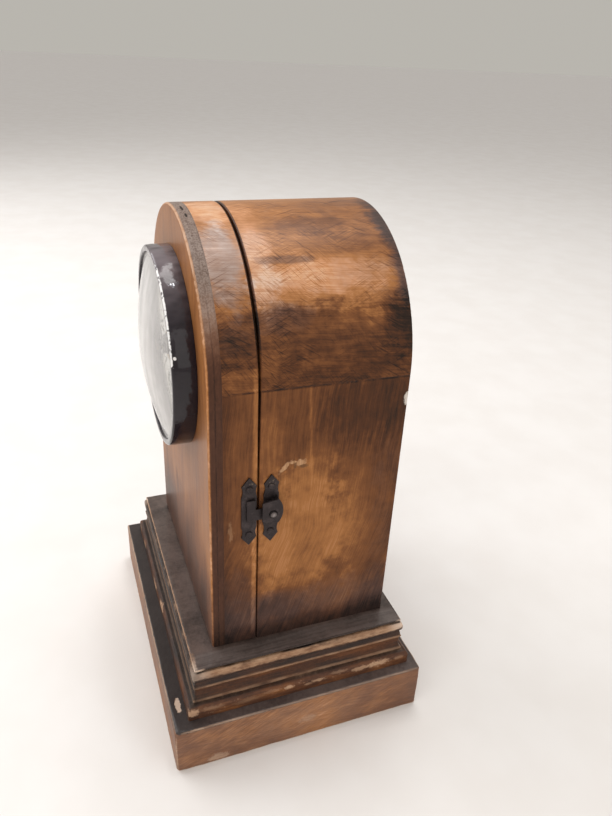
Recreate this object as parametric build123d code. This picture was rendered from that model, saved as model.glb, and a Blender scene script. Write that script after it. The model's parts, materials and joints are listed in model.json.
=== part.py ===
from build123d import *
import math
import os

# Arch-top wooden mantel clock on a moulded plinth. The whole front is a hinged door that carries the
# dial and a quartz movement, and a small pressed-metal latch holds it shut on the right side.
# Millimetres, +Z up, front towards -Y, origin under the middle of the plinth.

# Plinth slab
slab_width = 160.0
slab_depth = 125.0
slab_height = 26.0
slab_arris = 0.8

# Moulding board on the slab, from its foot band up to its cap
moulding_ledge = 5.5
moulding_end_ledge = 6.0
moulding_setback = 1.3
foot_height = 5.8
foot_round = 2.2
foot_step = 2.8
quirk = 0.9
cove_height = 9.4
cove_lean_depth = 0.6
cove_hollow = 1.1
neck_height = 3.0
neck_step = 1.0
bead_height = 5.0
bead_bulge = 1.2
cap_height = 1.0

# Arched case: rear box, seam and door
case_width = 119.0
spring_rise = 131.0
door_setback = 22.5
door_depth = 20.5
seam_gap = 1.0
box_depth = 65.5
wall = 9.0
panel_thickness = 6.0
panel_round = 1.0
board_round = 0.6
back_thickness = 5.0
floor_thickness = 7.0
door_floor_gap = 0.8
board_clearance = 0.15

# Screws that hold the case on the plinth
base_screw_radius = 2.0
base_screw_head_radius = 3.8
base_screw_head_height = 2.4
base_screw_bore_depth = 16.0
base_screw_inset = 10.0
base_screw_bite = 5.0

# Small fasteners, and the room round a shank or a shaft
fastener_clearance = 0.05
running_clearance = 0.06
head_round_share = 0.8

# Butt hinges in the seam, on the left side
hinge_length = 30.0
hinge_low_rise = 30.0
hinge_high_drop = 24.0
knuckle_radius = 2.0
knuckle_gap = 0.2
hinge_pin_radius = 1.0
hinge_pin_cap_radius = 1.7
hinge_pin_cap_height = 0.7
hinge_standoff = 0.3
leaf_thickness = 0.8
leaf_gap = 0.2
leaf_edge_margin = 1.5
leaf_notch_clearance = 0.3
hinge_screw_spread = 16.0
hinge_screw_radius = 0.9
hinge_screw_head_radius = 1.7
hinge_screw_length = 8.0

# Latch on the right side: two nailed plates, a tongue on the door and a turning lever
latch_rise = 75.2
latch_plate_width = 6.7
latch_plate_height = 34.7
latch_plate_thickness = 0.8
latch_plate_tip = 4.3
latch_plate_waist = 0.5
latch_shoulder = 5.2
catch_plate_offset = 4.1
base_plate_offset = 5.6
nail_spread = 23.2
nail_radius = 0.7
nail_head_radius = 1.6
nail_head_height = 0.7
nail_length = 6.5
tongue_height = 5.5
tongue_drop = 1.1
tongue_root = 4.7
tongue_reach = 3.2
tongue_heel = 1.6
tongue_heel_rise = 4.8
tongue_lift = 0.5
tongue_thickness = 0.7
lip_thickness = 0.7
lip_height = 0.9
lever_gap = 0.3
lever_thickness = 0.9
lever_hub_radius = 2.0
lever_nose = 4.75
lever_tail = 4.5
lever_foot = 3.5
lever_heel = 4.9
lever_shoulder = 6.0
lever_crown = 7.2
lever_round = 2.4
rivet_drop = 0.5
rivet_radius = 1.2
rivet_head_radius = 1.9
rivet_head_height = 0.8
rivet_length = 5.0
claw_clearance = 0.5
claw_lead = 0.5
claw_length = 2.0
claw_thickness = 0.8
latch_slot_height = 1.9
latch_slot_length = 5.4
latch_slot_rise = 5.4
latch_slot_web = 0.2
latch_slot_lean = 14.0

# Clock insert on the door: pan, dial, bezel and domed lens
dial_drop = 2.0
bezel_radius = 44.5
bezel_depth = 10.0
bezel_wall = 3.0
bezel_lip = 1.2
bezel_lip_width = 1.1
bezel_round = 1.2
pan_thickness = 0.8
pan_clearance = 0.1
dial_thickness = 0.6
dial_clearance = 0.2
lens_thickness = 1.5
lens_dome = 6.8
lens_clearance = 0.3

# Hands
hour_hand_length = 23.0
minute_hand_length = 32.0
second_hand_length = 25.0
second_hand_tail = 8.0
hour_hand_width = 4.0
minute_hand_width = 3.2
second_hand_width = 0.9
hand_root_width = 1.4
hand_belly_share = 0.45
hand_thickness = 0.5
hand_collar = 0.9
hand_collar_height = 1.5
hand_gap = 0.5
shown_hour = 10
shown_minute = 9
shown_second = 36

# Movement housing and its fixing through the front panel
gasket_thickness = 1.0
gasket_radius = 14.0
bush_radius = 3.95
bush_hole_clearance = 0.3
washer_radius = 8.0
washer_thickness = 0.6
nut_radius = 6.4
nut_thickness = 2.2
bush_end = 0.4
housing_wall = 1.2
housing_floor = 1.5
housing_corner = 2.0
cover_thickness = 1.2

# Battery and its bay
battery_radius = 7.1
battery_length = 49.2
battery_nub_radius = 2.7
battery_nub_length = 1.2
battery_gap = 0.4
contact_space = 1.6
contact_thickness = 0.4
contact_width = 9.0
contact_height = 8.0
contact_touch_gap = 0.1
bay_wall = 1.0

# Wheel train: tooth counts, modules and levels behind the front plate
train_module = 0.25
rotor_leaves = 12
intermediate_teeth = 60
intermediate_leaves = 10
seconds_teeth = 60
seconds_leaves = 8
third_teeth = 60
third_leaves = 8
centre_teeth = 64
cannon_leaves = 12
motion_teeth = 36
motion_leaves = 10
hour_teeth = 40
setting_leaves = 10
rotor_share = 0.8
seconds_share = 1.04
motion_share = 1.44
third_bearing = 30.0
intermediate_bearing = 105.0
motion_bearing = 165.0
rotor_bearing = 70.0
wheel_addendum = 0.95
wheel_dedendum = 1.3
wheel_tip_share = 0.18
wheel_root_share = 0.62
leaf_addendum = 0.9
leaf_dedendum = 1.4
leaf_tip_share = 0.16
leaf_root_share = 0.42
first_level = 0.5
level_spacing = 1.65
wheel_thickness = 0.9
leaf_overlap = 0.25
arbor_radius = 0.5
arbor_sink = 0.8
arbor_end = 0.2
cannon_radius = 1.6
clutch_radius = 1.1
hour_tube_radius = 2.5
motion_post_radius = 0.7
magnet_radius = 2.2
magnet_thickness = 1.8
magnet_air = 0.4
stator_thickness = 1.0
stator_margin = 3.4
stator_half_width = 11.5
stator_leg = 3.0
coil_rise = 6.6
coil_radius = 2.2
coil_core_height = 2.2
coil_flange_thickness = 0.8
coil_flange_step = 0.5
bridge_thickness = 0.8
bridge_air = 0.4
bridge_left = 20.4
bridge_right = 16.4
bridge_top_margin = 2.6
bridge_battery_gap = 0.5
post_radius = 1.5
post_inset = 1.9
bridge_screw_radius = 0.6
bridge_screw_head_radius = 1.3
bridge_screw_head_height = 0.6
bridge_screw_length = 4.0
cover_air = 0.3
board_width = 9.0
board_height = 24.0
board_thickness = 1.2
board_post_radius = 1.2
crystal_radius = 1.0
crystal_length = 6.0
setting_arbor_radius = 0.9
knob_radius = 5.0
knob_height = 3.0
knob_gap = 0.3
knob_notch = 0.6
knob_notches = 18

# Places worked out from the sizes above
half_case = case_width / 2
half_inside = half_case - wall
moulding_height = (foot_height + quirk + cove_height + neck_height
                   + bead_height + quirk + cap_height)
plinth_top = slab_height + moulding_height
spring = plinth_top + spring_rise
door_front = -slab_depth / 2 + door_setback
door_rear = door_front + door_depth
panel_rear = door_front + panel_thickness
seam = door_rear + seam_gap / 2
box_front = door_rear + seam_gap
box_rear = box_front + box_depth
door_bottom = plinth_top + door_floor_gap
dial_height = spring - dial_drop

# Levels of the wheels, counted from the front plate rearwards
(hour_level, cannon_level, centre_level, third_level, seconds_level, rotor_level,
 magnet_level) = range(7)

BASE = (Align.CENTER, Align.CENTER, Align.MIN)

# Dial frame: x right, y up and z out of the door's front, from the middle of the dial
dial_frame = Plane(origin=(0, door_front, dial_height), x_dir=(1, 0, 0), z_dir=(0, -1, 0))

# Latch frame: x to the rear from the seam, y up and z out of the right side, at the middle of the plates
latch_frame = Plane(origin=(half_case, seam, plinth_top + latch_rise), x_dir=(0, 1, 0), z_dir=(1, 0, 0))

parts = {}


def block(x_low, x_high, y_low, y_high, z_low, z_high):
    """Box between its limits."""
    middle = Pos((x_low + x_high) / 2, (y_low + y_high) / 2, (z_low + z_high) / 2)
    return middle * Box(x_high - x_low, y_high - y_low, z_high - z_low)


def rod(radius, low, high, x=0.0, y=0.0):
    """Cylinder along z between two heights."""
    return Pos(x, y, low) * Cylinder(radius, high - low, align=BASE)


def group(solids):
    """Several separate solids in one node."""
    return Compound(children=list(solids))


def board_between(face, front, rear):
    """Board of an outline drawn in x and z, between two places on y."""
    plane = Plane(origin=(0, rear, 0), x_dir=(1, 0, 0), z_dir=(0, -1, 0))
    return extrude(plane * face, rear - front)


def arch_face(half_width, bottom):
    """Round-topped outline with its arch springing at the spring height."""
    sides = Polyline((half_width, spring), (half_width, bottom),
                     (-half_width, bottom), (-half_width, spring))
    top = ThreePointArc((-half_width, spring), (0, spring + half_width), (half_width, spring))
    return make_face(sides + top)


def level_depth(level):
    """Depth of the near face of the wheel on a level."""
    return first_level + level * level_spacing


def half_ring_face(outer, inner):
    """Half ring over the spring line."""
    crown = ThreePointArc((-outer, spring), (0, spring + outer), (outer, spring))
    soffit = ThreePointArc((-inner, spring), (0, spring + inner), (inner, spring))
    left_end = Line((-outer, spring), (-inner, spring))
    right_end = Line((outer, spring), (inner, spring))
    return make_face(crown + soffit + left_end + right_end)


def moulding_face(half_span):
    """Section of the moulding board, half_span from its middle to the face of the foot band."""
    cove_foot = foot_height + quirk
    cove_top = cove_foot + cove_height
    bead_foot = cove_top + neck_height
    bead_top = bead_foot + bead_height
    cove_inset = foot_step + cove_lean_depth
    bead_inset = cove_inset + neck_step
    round_cut = foot_round * (1 - math.sqrt(0.5))

    def at(inset, height):
        return (half_span - inset, height)

    with BuildSketch() as section:
        with BuildLine():
            Polyline((0, 0), at(0, 0), at(0, foot_height - foot_round))
            ThreePointArc(at(0, foot_height - foot_round), at(round_cut, foot_height - round_cut),
                          at(foot_round, foot_height))
            Polyline(at(foot_round, foot_height), at(foot_step + quirk, foot_height),
                     at(foot_step + quirk, cove_foot), at(foot_step, cove_foot))
            ThreePointArc(at(foot_step, cove_foot),
                          at((foot_step + cove_inset) / 2 + cove_hollow, (cove_foot + cove_top) / 2),
                          at(cove_inset, cove_top))
            Line(at(cove_inset, cove_top), at(bead_inset, bead_foot))
            ThreePointArc(at(bead_inset, bead_foot), at(bead_inset - bead_bulge, (bead_foot + bead_top) / 2),
                          at(bead_inset, bead_top))
            Polyline(at(bead_inset, bead_top), at(bead_inset + quirk, bead_top),
                     at(bead_inset + quirk, bead_top + quirk), at(bead_inset, bead_top + quirk),
                     at(bead_inset, moulding_height), (0, moulding_height))
            mirror(about=Plane.YZ)
        make_face()
    return section.sketch


def make_plinth():
    """Slab, mitred moulding board and the screws that come up into the case floor."""
    slab = Pos(0, 0, 0) * Box(slab_width, slab_depth, slab_height, align=BASE)
    slab = fillet(slab.edges(), slab_arris)
    half_depth = slab_depth / 2 - moulding_end_ledge
    half_width = slab_width / 2 - moulding_ledge
    along_x = extrude(Plane.YZ * moulding_face(half_depth), slab_width / 2, both=True)
    along_y = extrude(Plane.XZ * moulding_face(half_width), slab_depth / 2, both=True)
    moulding = Pos(0, moulding_setback, slab_height) * (along_x & along_y)
    screw_x = half_inside - base_screw_inset
    screw_y = [box_front + base_screw_inset, box_rear - back_thickness - base_screw_inset]
    floor = block(-half_inside, half_inside, box_front, box_rear - back_thickness,
                  plinth_top, plinth_top + floor_thickness)
    screws = []
    for x in (-screw_x, screw_x):
        for y in screw_y:
            head_low = base_screw_bore_depth - base_screw_head_height
            tip = plinth_top + base_screw_bite
            head = rod(base_screw_head_radius, head_low, base_screw_bore_depth, x, y)
            screws.append(head + rod(base_screw_radius, base_screw_bore_depth, tip, x, y))
            hole = rod(base_screw_radius + fastener_clearance, 0, tip + fastener_clearance, x, y)
            slab -= hole + rod(base_screw_head_radius + fastener_clearance, 0, base_screw_bore_depth, x, y)
            moulding -= hole
            floor -= hole
    parts["base_slab"] = slab
    parts["plinth_moulding"] = moulding
    parts["case_floor"] = floor
    parts["base_screws"] = group(screws)


def eased(board, places):
    """Board with the edges of its outer face rounded at the given places on y."""
    upright = [edge for edge in board.edges().filter_by(Axis.Z)
               if math.isclose(abs(edge.center().X), half_case)]
    crown = [edge for edge in board.edges().filter_by(GeomType.CIRCLE)
             if math.isclose(edge.radius, half_case)]
    chosen = [edge for edge in upright + crown
              if any(math.isclose(edge.center().Y, place, abs_tol=board_clearance) for place in places)]
    return fillet(chosen, board_round)


def make_wood():
    """Rear box and door frame, still without the cuts for hinges and latch."""
    arch = half_ring_face(half_case, half_inside)
    side_low = half_case - wall
    box_ends = (box_front, box_rear)
    left_board = block(-half_case, -side_low, box_front, box_rear, plinth_top, spring)
    right_board = block(side_low, half_case, box_front, box_rear, plinth_top, spring)
    parts["case_side_left"] = eased(left_board, box_ends)
    parts["case_side_right"] = eased(right_board, box_ends)
    parts["case_arch"] = eased(board_between(arch, box_front, box_rear), box_ends)
    back_face = arch_face(half_inside - board_clearance, plinth_top)
    parts["case_back"] = board_between(back_face, box_rear - back_thickness, box_rear)

    door_end = (door_rear,)
    left_stile = block(-half_case, -side_low, panel_rear, door_rear, door_bottom, spring)
    right_stile = block(side_low, half_case, panel_rear, door_rear, door_bottom, spring)
    parts["door_stile_left"] = eased(left_stile, door_end)
    parts["door_stile_right"] = eased(right_stile, door_end)
    parts["door_arch"] = eased(board_between(arch, panel_rear, door_rear), door_end)
    parts["door_bottom_rail"] = block(-half_inside, half_inside, panel_rear, door_rear,
                                      door_bottom, door_bottom + wall)
    panel = board_between(arch_face(half_case, door_bottom), door_front, panel_rear)
    panel = fillet(panel.faces().sort_by(Axis.Y)[0].edges(), panel_round)
    panel -= dial_frame * rod(bush_radius + bush_hole_clearance, -panel_thickness, 0)
    parts["door_front_panel"] = panel


def countersunk_screw(grow):
    """Hinge screw along +z from its flush head, grown all round to make its hole."""
    head = Cone(hinge_screw_head_radius + grow, hinge_screw_radius + grow, leaf_thickness, align=BASE)
    return head + rod(hinge_screw_radius + grow, 0, hinge_screw_length + grow)


def make_hinges():
    """Two butt hinges whose leaves lie in the seam, let into the door and the case."""
    axis_x = -half_case - knuckle_radius - hinge_standoff
    leaf_inner = -half_case + wall - leaf_edge_margin
    knuckle = hinge_length / 3
    heights = {"lower": plinth_top + hinge_low_rise, "upper": spring - hinge_high_drop}
    screws = {"case": [], "door": []}
    wood = {"case": "case_side_left", "door": "door_stile_left"}
    for place, middle in heights.items():
        low = middle - hinge_length / 2
        high = middle + hinge_length / 2
        door_span = (low + knuckle, high - knuckle)
        door_zone = rod(knuckle_radius + leaf_notch_clearance, door_span[0] - knuckle_gap,
                        door_span[1] + knuckle_gap, axis_x, seam)
        case_zone = rod(knuckle_radius + leaf_notch_clearance, low, high, axis_x, seam)
        case_zone -= rod(knuckle_radius + 2 * leaf_notch_clearance, door_span[0], door_span[1], axis_x, seam)
        pin_hole = rod(hinge_pin_radius + running_clearance, low, high, axis_x, seam)
        for owner, sense in (("case", 1), ("door", -1)):
            near = seam + sense * leaf_gap / 2
            far = near + sense * leaf_thickness
            leaf = block(axis_x, leaf_inner, min(near, far), max(near, far), low, high)
            if owner == "case":
                leaf -= door_zone
                leaf += rod(knuckle_radius, low, door_span[0] - knuckle_gap, axis_x, seam)
                leaf += rod(knuckle_radius, door_span[1] + knuckle_gap, high, axis_x, seam)
            else:
                leaf -= case_zone
                leaf += rod(knuckle_radius, door_span[0], door_span[1], axis_x, seam)
            leaf -= pin_hole
            mortise = block(-half_case - 1, leaf_inner + fastener_clearance,
                            min(near, far) - fastener_clearance, max(near, far) + fastener_clearance,
                            low - fastener_clearance, high + fastener_clearance)
            parts[wood[owner]] -= mortise
            for z in (middle - hinge_screw_spread / 2, middle + hinge_screw_spread / 2):
                spot = Plane(origin=((leaf_inner - half_case) / 2, near, z),
                             x_dir=(1, 0, 0), z_dir=(0, sense, 0))
                screws[owner].append(spot * countersunk_screw(0.0))
                hole = spot * countersunk_screw(fastener_clearance)
                leaf -= hole
                parts[wood[owner]] -= hole
            parts[f"hinge_{owner}_leaf_{place}"] = leaf
        pin = rod(hinge_pin_radius, low, high, axis_x, seam)
        pin += rod(hinge_pin_cap_radius, high, high + hinge_pin_cap_height, axis_x, seam)
        pin += rod(hinge_pin_cap_radius, low - hinge_pin_cap_height, low, axis_x, seam)
        parts[f"hinge_pin_{place}"] = pin
    for owner in screws:
        parts[f"hinge_{owner}_screws"] = group(screws[owner])


def latch_plate_face(middle):
    """Upright plate with an arrow point and a waisted shoulder at each end."""
    half_width = latch_plate_width / 2
    half_height = latch_plate_height / 2
    shoulder = half_height - latch_plate_tip
    with BuildSketch() as outline:
        with BuildLine():
            Line((0, half_height), (half_width, shoulder))
            ThreePointArc((half_width, shoulder),
                          (half_width - latch_plate_waist, shoulder - latch_shoulder / 2),
                          (half_width, shoulder - latch_shoulder))
            Line((half_width, shoulder - latch_shoulder), (half_width, 0))
            mirror(about=Plane.YZ)
            mirror(about=Plane.XZ)
        make_face()
    return Pos(middle, 0) * outline.sketch


def make_latch():
    """Catch plate with its hooked tongue, base plate, riveted lever and nails."""
    top = latch_plate_thickness
    catch = extrude(latch_plate_face(-catch_plate_offset), top)
    base = extrude(latch_plate_face(base_plate_offset), top)

    nails = {"door": [], "case": []}
    for owner, x in (("door", -catch_plate_offset), ("case", base_plate_offset)):
        for y in (-nail_spread / 2, nail_spread / 2):
            button = rod(nail_head_radius, top, top + nail_head_height, x, y)
            head = fillet(button.edges().sort_by(Axis.Z)[-1],
                          nail_head_height * head_round_share)
            nails[owner].append(latch_frame * (head + rod(nail_radius, top - nail_length, top, x, y)))
            hole = rod(nail_radius + fastener_clearance, top - nail_length - fastener_clearance, top, x, y)
            if owner == "door":
                catch -= hole
                parts["door_stile_right"] -= latch_frame * hole
            else:
                base -= hole
                parts["case_side_right"] -= latch_frame * hole

    tongue_low = top + tongue_lift
    tongue_high = tongue_low + tongue_thickness
    tongue_bottom = -tongue_drop - tongue_height / 2
    tongue_top = tongue_bottom + tongue_height
    catch += block(-tongue_root, tongue_reach, tongue_bottom, tongue_top, tongue_low, tongue_high)
    catch += block(-tongue_root - tongue_thickness, -tongue_root, tongue_bottom, tongue_top, 0, tongue_high)
    heel_top = tongue_top + tongue_heel_rise
    catch += block(-tongue_root, -tongue_heel, tongue_top, heel_top, tongue_low, tongue_high)
    catch += block(-tongue_root - tongue_thickness, -tongue_root, tongue_top, heel_top, 0, tongue_high)
    lip_front = tongue_reach - lip_thickness
    catch += block(lip_front, tongue_reach, tongue_bottom, tongue_top, tongue_high, tongue_high + lip_height)
    parts["latch_catch_plate"] = latch_frame * catch
    parts["latch_door_nails"] = group(nails["door"])
    parts["latch_case_nails"] = group(nails["case"])

    rivet_x = base_plate_offset
    rivet_y = -rivet_drop
    lever_low = tongue_high + lip_height + lever_gap
    lever_high = lever_low + lever_thickness
    with BuildSketch() as leaf_face:
        with BuildLine():
            Polyline((lever_round, -lever_heel), (-lever_nose, -lever_foot),
                     (-lever_nose, lever_shoulder),
                     (lever_round, lever_crown))
            ThreePointArc((lever_round, lever_crown), (lever_tail, lever_crown - lever_shoulder),
                          (lever_round, -lever_heel))
        make_face()
    lever = Pos(rivet_x, rivet_y, lever_low) * extrude(leaf_face.sketch, lever_thickness)
    lever += rod(lever_hub_radius, top + running_clearance, lever_low, rivet_x, rivet_y)
    claw_low = tongue_high + lever_gap
    claw_foot = tongue_top + claw_clearance
    claw_front = lip_front - claw_lead
    lever += block(claw_front, claw_front + claw_thickness, claw_foot, claw_foot + claw_length,
                   claw_low, lever_low)
    lever -= rod(rivet_radius + running_clearance, top, lever_high, rivet_x, rivet_y)
    parts["latch_lever"] = latch_frame * lever

    rivet_seat = lever_high + running_clearance
    head = rod(rivet_head_radius, rivet_seat, rivet_seat + rivet_head_height, rivet_x, rivet_y)
    head = fillet(head.edges().sort_by(Axis.Z)[-1], rivet_head_height * head_round_share)
    shank = rod(rivet_radius, -rivet_length, rivet_seat, rivet_x, rivet_y)
    parts["latch_rivet"] = latch_frame * (head + shank)
    hole = rod(rivet_radius + fastener_clearance, -rivet_length - fastener_clearance, top, rivet_x, rivet_y)
    slot = block(-latch_slot_length / 2, latch_slot_length / 2, -latch_slot_height / 2, latch_slot_height / 2,
                 latch_slot_web, top)
    slot = Pos(base_plate_offset, latch_slot_rise) * Rot(0, 0, latch_slot_lean) * slot
    parts["latch_base_plate"] = latch_frame * (base - hole - slot)
    parts["case_side_right"] -= latch_frame * hole


# Heights of the clock insert in the dial frame, from the door's front outwards
dial_top = pan_thickness + dial_thickness
nut_top = dial_top + washer_thickness + nut_thickness
bush_top = nut_top + bush_end
hour_collar_low = bush_top + hand_gap
hour_tube_top = hour_collar_low + hand_collar_height
minute_collar_low = hour_tube_top + hand_gap
cannon_top = minute_collar_low + hand_collar_height
second_collar_low = cannon_top + hand_gap
seconds_arbor_top = second_collar_low + hand_collar_height
lens_seat = bezel_depth - bezel_lip - lens_thickness
bore_radius = bezel_radius - bezel_wall
lip_radius = bore_radius - bezel_lip_width
pan_radius = bore_radius - pan_clearance


def make_insert():
    """Dial pan, dial, bezel and lens, all turned parts."""
    bush_hole = rod(bush_radius + bush_hole_clearance, 0, dial_top)
    pan = rod(pan_radius, 0, lens_seat) - rod(pan_radius - pan_thickness, pan_thickness, lens_seat)
    parts["dial_pan"] = dial_frame * (pan - bush_hole)
    dial = rod(pan_radius - pan_thickness - dial_clearance, pan_thickness, dial_top)
    parts["dial"] = dial_frame * (dial - bush_hole)

    bezel = rod(bezel_radius, 0, bezel_depth)
    bezel = fillet(bezel.edges().sort_by(Axis.Z)[-1], bezel_round)
    bezel -= rod(lip_radius, 0, bezel_depth)
    bezel -= rod(bore_radius, 0, bezel_depth - bezel_lip)
    parts["bezel"] = dial_frame * bezel

    foot = lip_radius - lens_clearance
    seat_top = lens_seat + lens_thickness
    inner_foot = foot - lens_thickness
    rim = Polyline((inner_foot, lens_seat), (pan_radius, lens_seat),
                   (pan_radius, seat_top), (foot, seat_top))
    outer_dome = TangentArc((0, seat_top + lens_dome), (foot, seat_top), tangent=(1, 0))
    inner_dome = TangentArc((0, lens_seat + lens_dome), (inner_foot, lens_seat), tangent=(1, 0))
    pole = Line((0, lens_seat + lens_dome), (0, seat_top + lens_dome))
    section = make_face(rim + outer_dome + pole + inner_dome)
    parts["lens"] = dial_frame * revolve(Plane.XZ * section, Axis.Z)


def hand_blade(length, width):
    """Leaf-shaped hand along +y, from its collar to a point."""
    half_root = hand_root_width / 2
    edge = ThreePointArc((half_root, 0), (width / 2, length * hand_belly_share), (0, length))
    other = ThreePointArc((-half_root, 0), (-width / 2, length * hand_belly_share), (0, length))
    return extrude(make_face(edge + other + Line((-half_root, 0), (half_root, 0))), hand_thickness)


def hand(blade, tube_radius, collar_low, clock_angle):
    """Blade and collar on a tube, turned to its place on the dial."""
    low = collar_low + (hand_collar_height - hand_thickness) / 2
    collar = rod(tube_radius + hand_collar, collar_low, collar_low + hand_collar_height)
    shape = Pos(0, 0, low) * blade + collar - rod(tube_radius, collar_low, collar_low + hand_collar_height)
    return dial_frame * (Rot(0, 0, -clock_angle) * shape)


def make_hands():
    """Hour, minute and second hands at the shown time."""
    minutes = shown_minute + shown_second / 60
    hour_angle = 30 * (shown_hour + minutes / 60)
    parts["hour_hand"] = hand(hand_blade(hour_hand_length, hour_hand_width), hour_tube_radius,
                              hour_collar_low, hour_angle)
    parts["minute_hand"] = hand(hand_blade(minute_hand_length, minute_hand_width), cannon_radius,
                                minute_collar_low, 6 * minutes)
    needle = block(-second_hand_width / 2, second_hand_width / 2, -second_hand_tail, second_hand_length,
                   0, hand_thickness)
    parts["second_hand"] = hand(needle, arbor_radius, second_collar_low, 6 * shown_second)


# Movement: heights below the front plate are counted backwards from its inner face
movement_face = -panel_thickness - gasket_thickness
train_floor = movement_face - housing_floor

rotor_module = train_module * rotor_share
seconds_module = train_module * seconds_share
centre_module = train_module
third_module = centre_module * (third_leaves + centre_teeth) / (seconds_leaves + third_teeth)
cannon_module = train_module * motion_share
hour_module = cannon_module * (cannon_leaves + motion_teeth) / (motion_leaves + hour_teeth)


def polar(start, distance, bearing):
    """Point at a distance and bearing from another, in the dial frame."""
    turn = math.radians(bearing)
    return (start[0] + distance * math.cos(turn), start[1] + distance * math.sin(turn))


def bearing_to(start, end):
    """Direction from one arbor to another, in degrees."""
    return math.degrees(math.atan2(end[1] - start[1], end[0] - start[0]))


centre = (0.0, 0.0)
third_place = polar(centre, centre_module * (third_leaves + centre_teeth) / 2, third_bearing)
intermediate_place = polar(centre, seconds_module * (intermediate_leaves + seconds_teeth) / 2,
                           intermediate_bearing)
rotor_place = polar(intermediate_place, rotor_module * (rotor_leaves + intermediate_teeth) / 2,
                    rotor_bearing)
motion_place = polar(centre, cannon_module * (cannon_leaves + motion_teeth) / 2, motion_bearing)
setting_place = polar(motion_place, cannon_module * (setting_leaves + motion_teeth) / 2, motion_bearing)

magnet_low = level_depth(magnet_level)
bridge_low = magnet_low + magnet_thickness + bridge_air
bridge_high = bridge_low + bridge_thickness
cover_low = bridge_high + bridge_screw_head_height + cover_air
cover_high = cover_low + cover_thickness
stator_low = magnet_low + (magnet_thickness - stator_thickness) / 2
coil_y = rotor_place[1] + coil_rise
centre_tip = centre_module * (centre_teeth / 2 + wheel_addendum)
bridge_bottom = -centre_tip - bridge_battery_gap
bay_top = bridge_bottom - bridge_battery_gap - bay_wall
battery_y = bay_top - battery_gap - battery_radius
battery_depth = battery_radius
housing_half_width = battery_length / 2 + battery_nub_length / 2 + contact_space + housing_wall
housing_bottom = battery_y - battery_radius - battery_gap - housing_wall
housing_top = coil_y + coil_radius + coil_flange_step + battery_gap + housing_wall
post_places = [(-bridge_left + post_inset, bridge_bottom + post_inset),
               (bridge_right - post_inset, bridge_bottom + post_inset),
               (-bridge_left + post_inset, rotor_place[1]),
               (bridge_right - post_inset, rotor_place[1])]
board_x = housing_half_width - housing_wall - battery_gap - board_width / 2
board_y = rotor_place[1] + post_radius - board_height / 2 + bridge_top_margin


def deep(radius, near, far, place=centre):
    """Cylinder between two depths behind the front plate's inner face."""
    return rod(radius, train_floor - far, train_floor - near, place[0], place[1])


def toothed(module, teeth, shape, tooth_bearing, near, far, place):
    """Flat-flanked gear with one tooth pointing along a bearing."""
    addendum, dedendum, tip_share, root_share = shape
    pitch = 360 / teeth
    tip = module * (teeth / 2 + addendum)
    root = module * (teeth / 2 - dedendum)
    points = []
    for tooth in range(teeth):
        middle = tooth_bearing + tooth * pitch
        points.append(polar(centre, root, middle - root_share * pitch / 2))
        points.append(polar(centre, tip, middle - tip_share * pitch / 2))
        points.append(polar(centre, tip, middle + tip_share * pitch / 2))
        points.append(polar(centre, root, middle + root_share * pitch / 2))
    blank = extrude(make_face(Polyline(points, close=True)), far - near)
    return Pos(place[0], place[1], train_floor - far) * blank


def wheel(module, teeth, level, place, driver):
    """Wheel with a gap between two teeth towards the pinion that it meets."""
    shape = (wheel_addendum, wheel_dedendum, wheel_tip_share, wheel_root_share)
    near = level_depth(level)
    return toothed(module, teeth, shape, bearing_to(place, driver) + 180 / teeth,
                   near, near + wheel_thickness, place)


def pinion(module, leaves, level, place, partner, turned=0.0):
    """Pinion with a leaf towards its wheel, a little thicker than the wheel."""
    shape = (leaf_addendum, leaf_dedendum, leaf_tip_share, leaf_root_share)
    near = level_depth(level) - leaf_overlap
    far = level_depth(level) + wheel_thickness + leaf_overlap
    return toothed(module, leaves, shape, bearing_to(place, partner) + turned, near, far, place)


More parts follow.
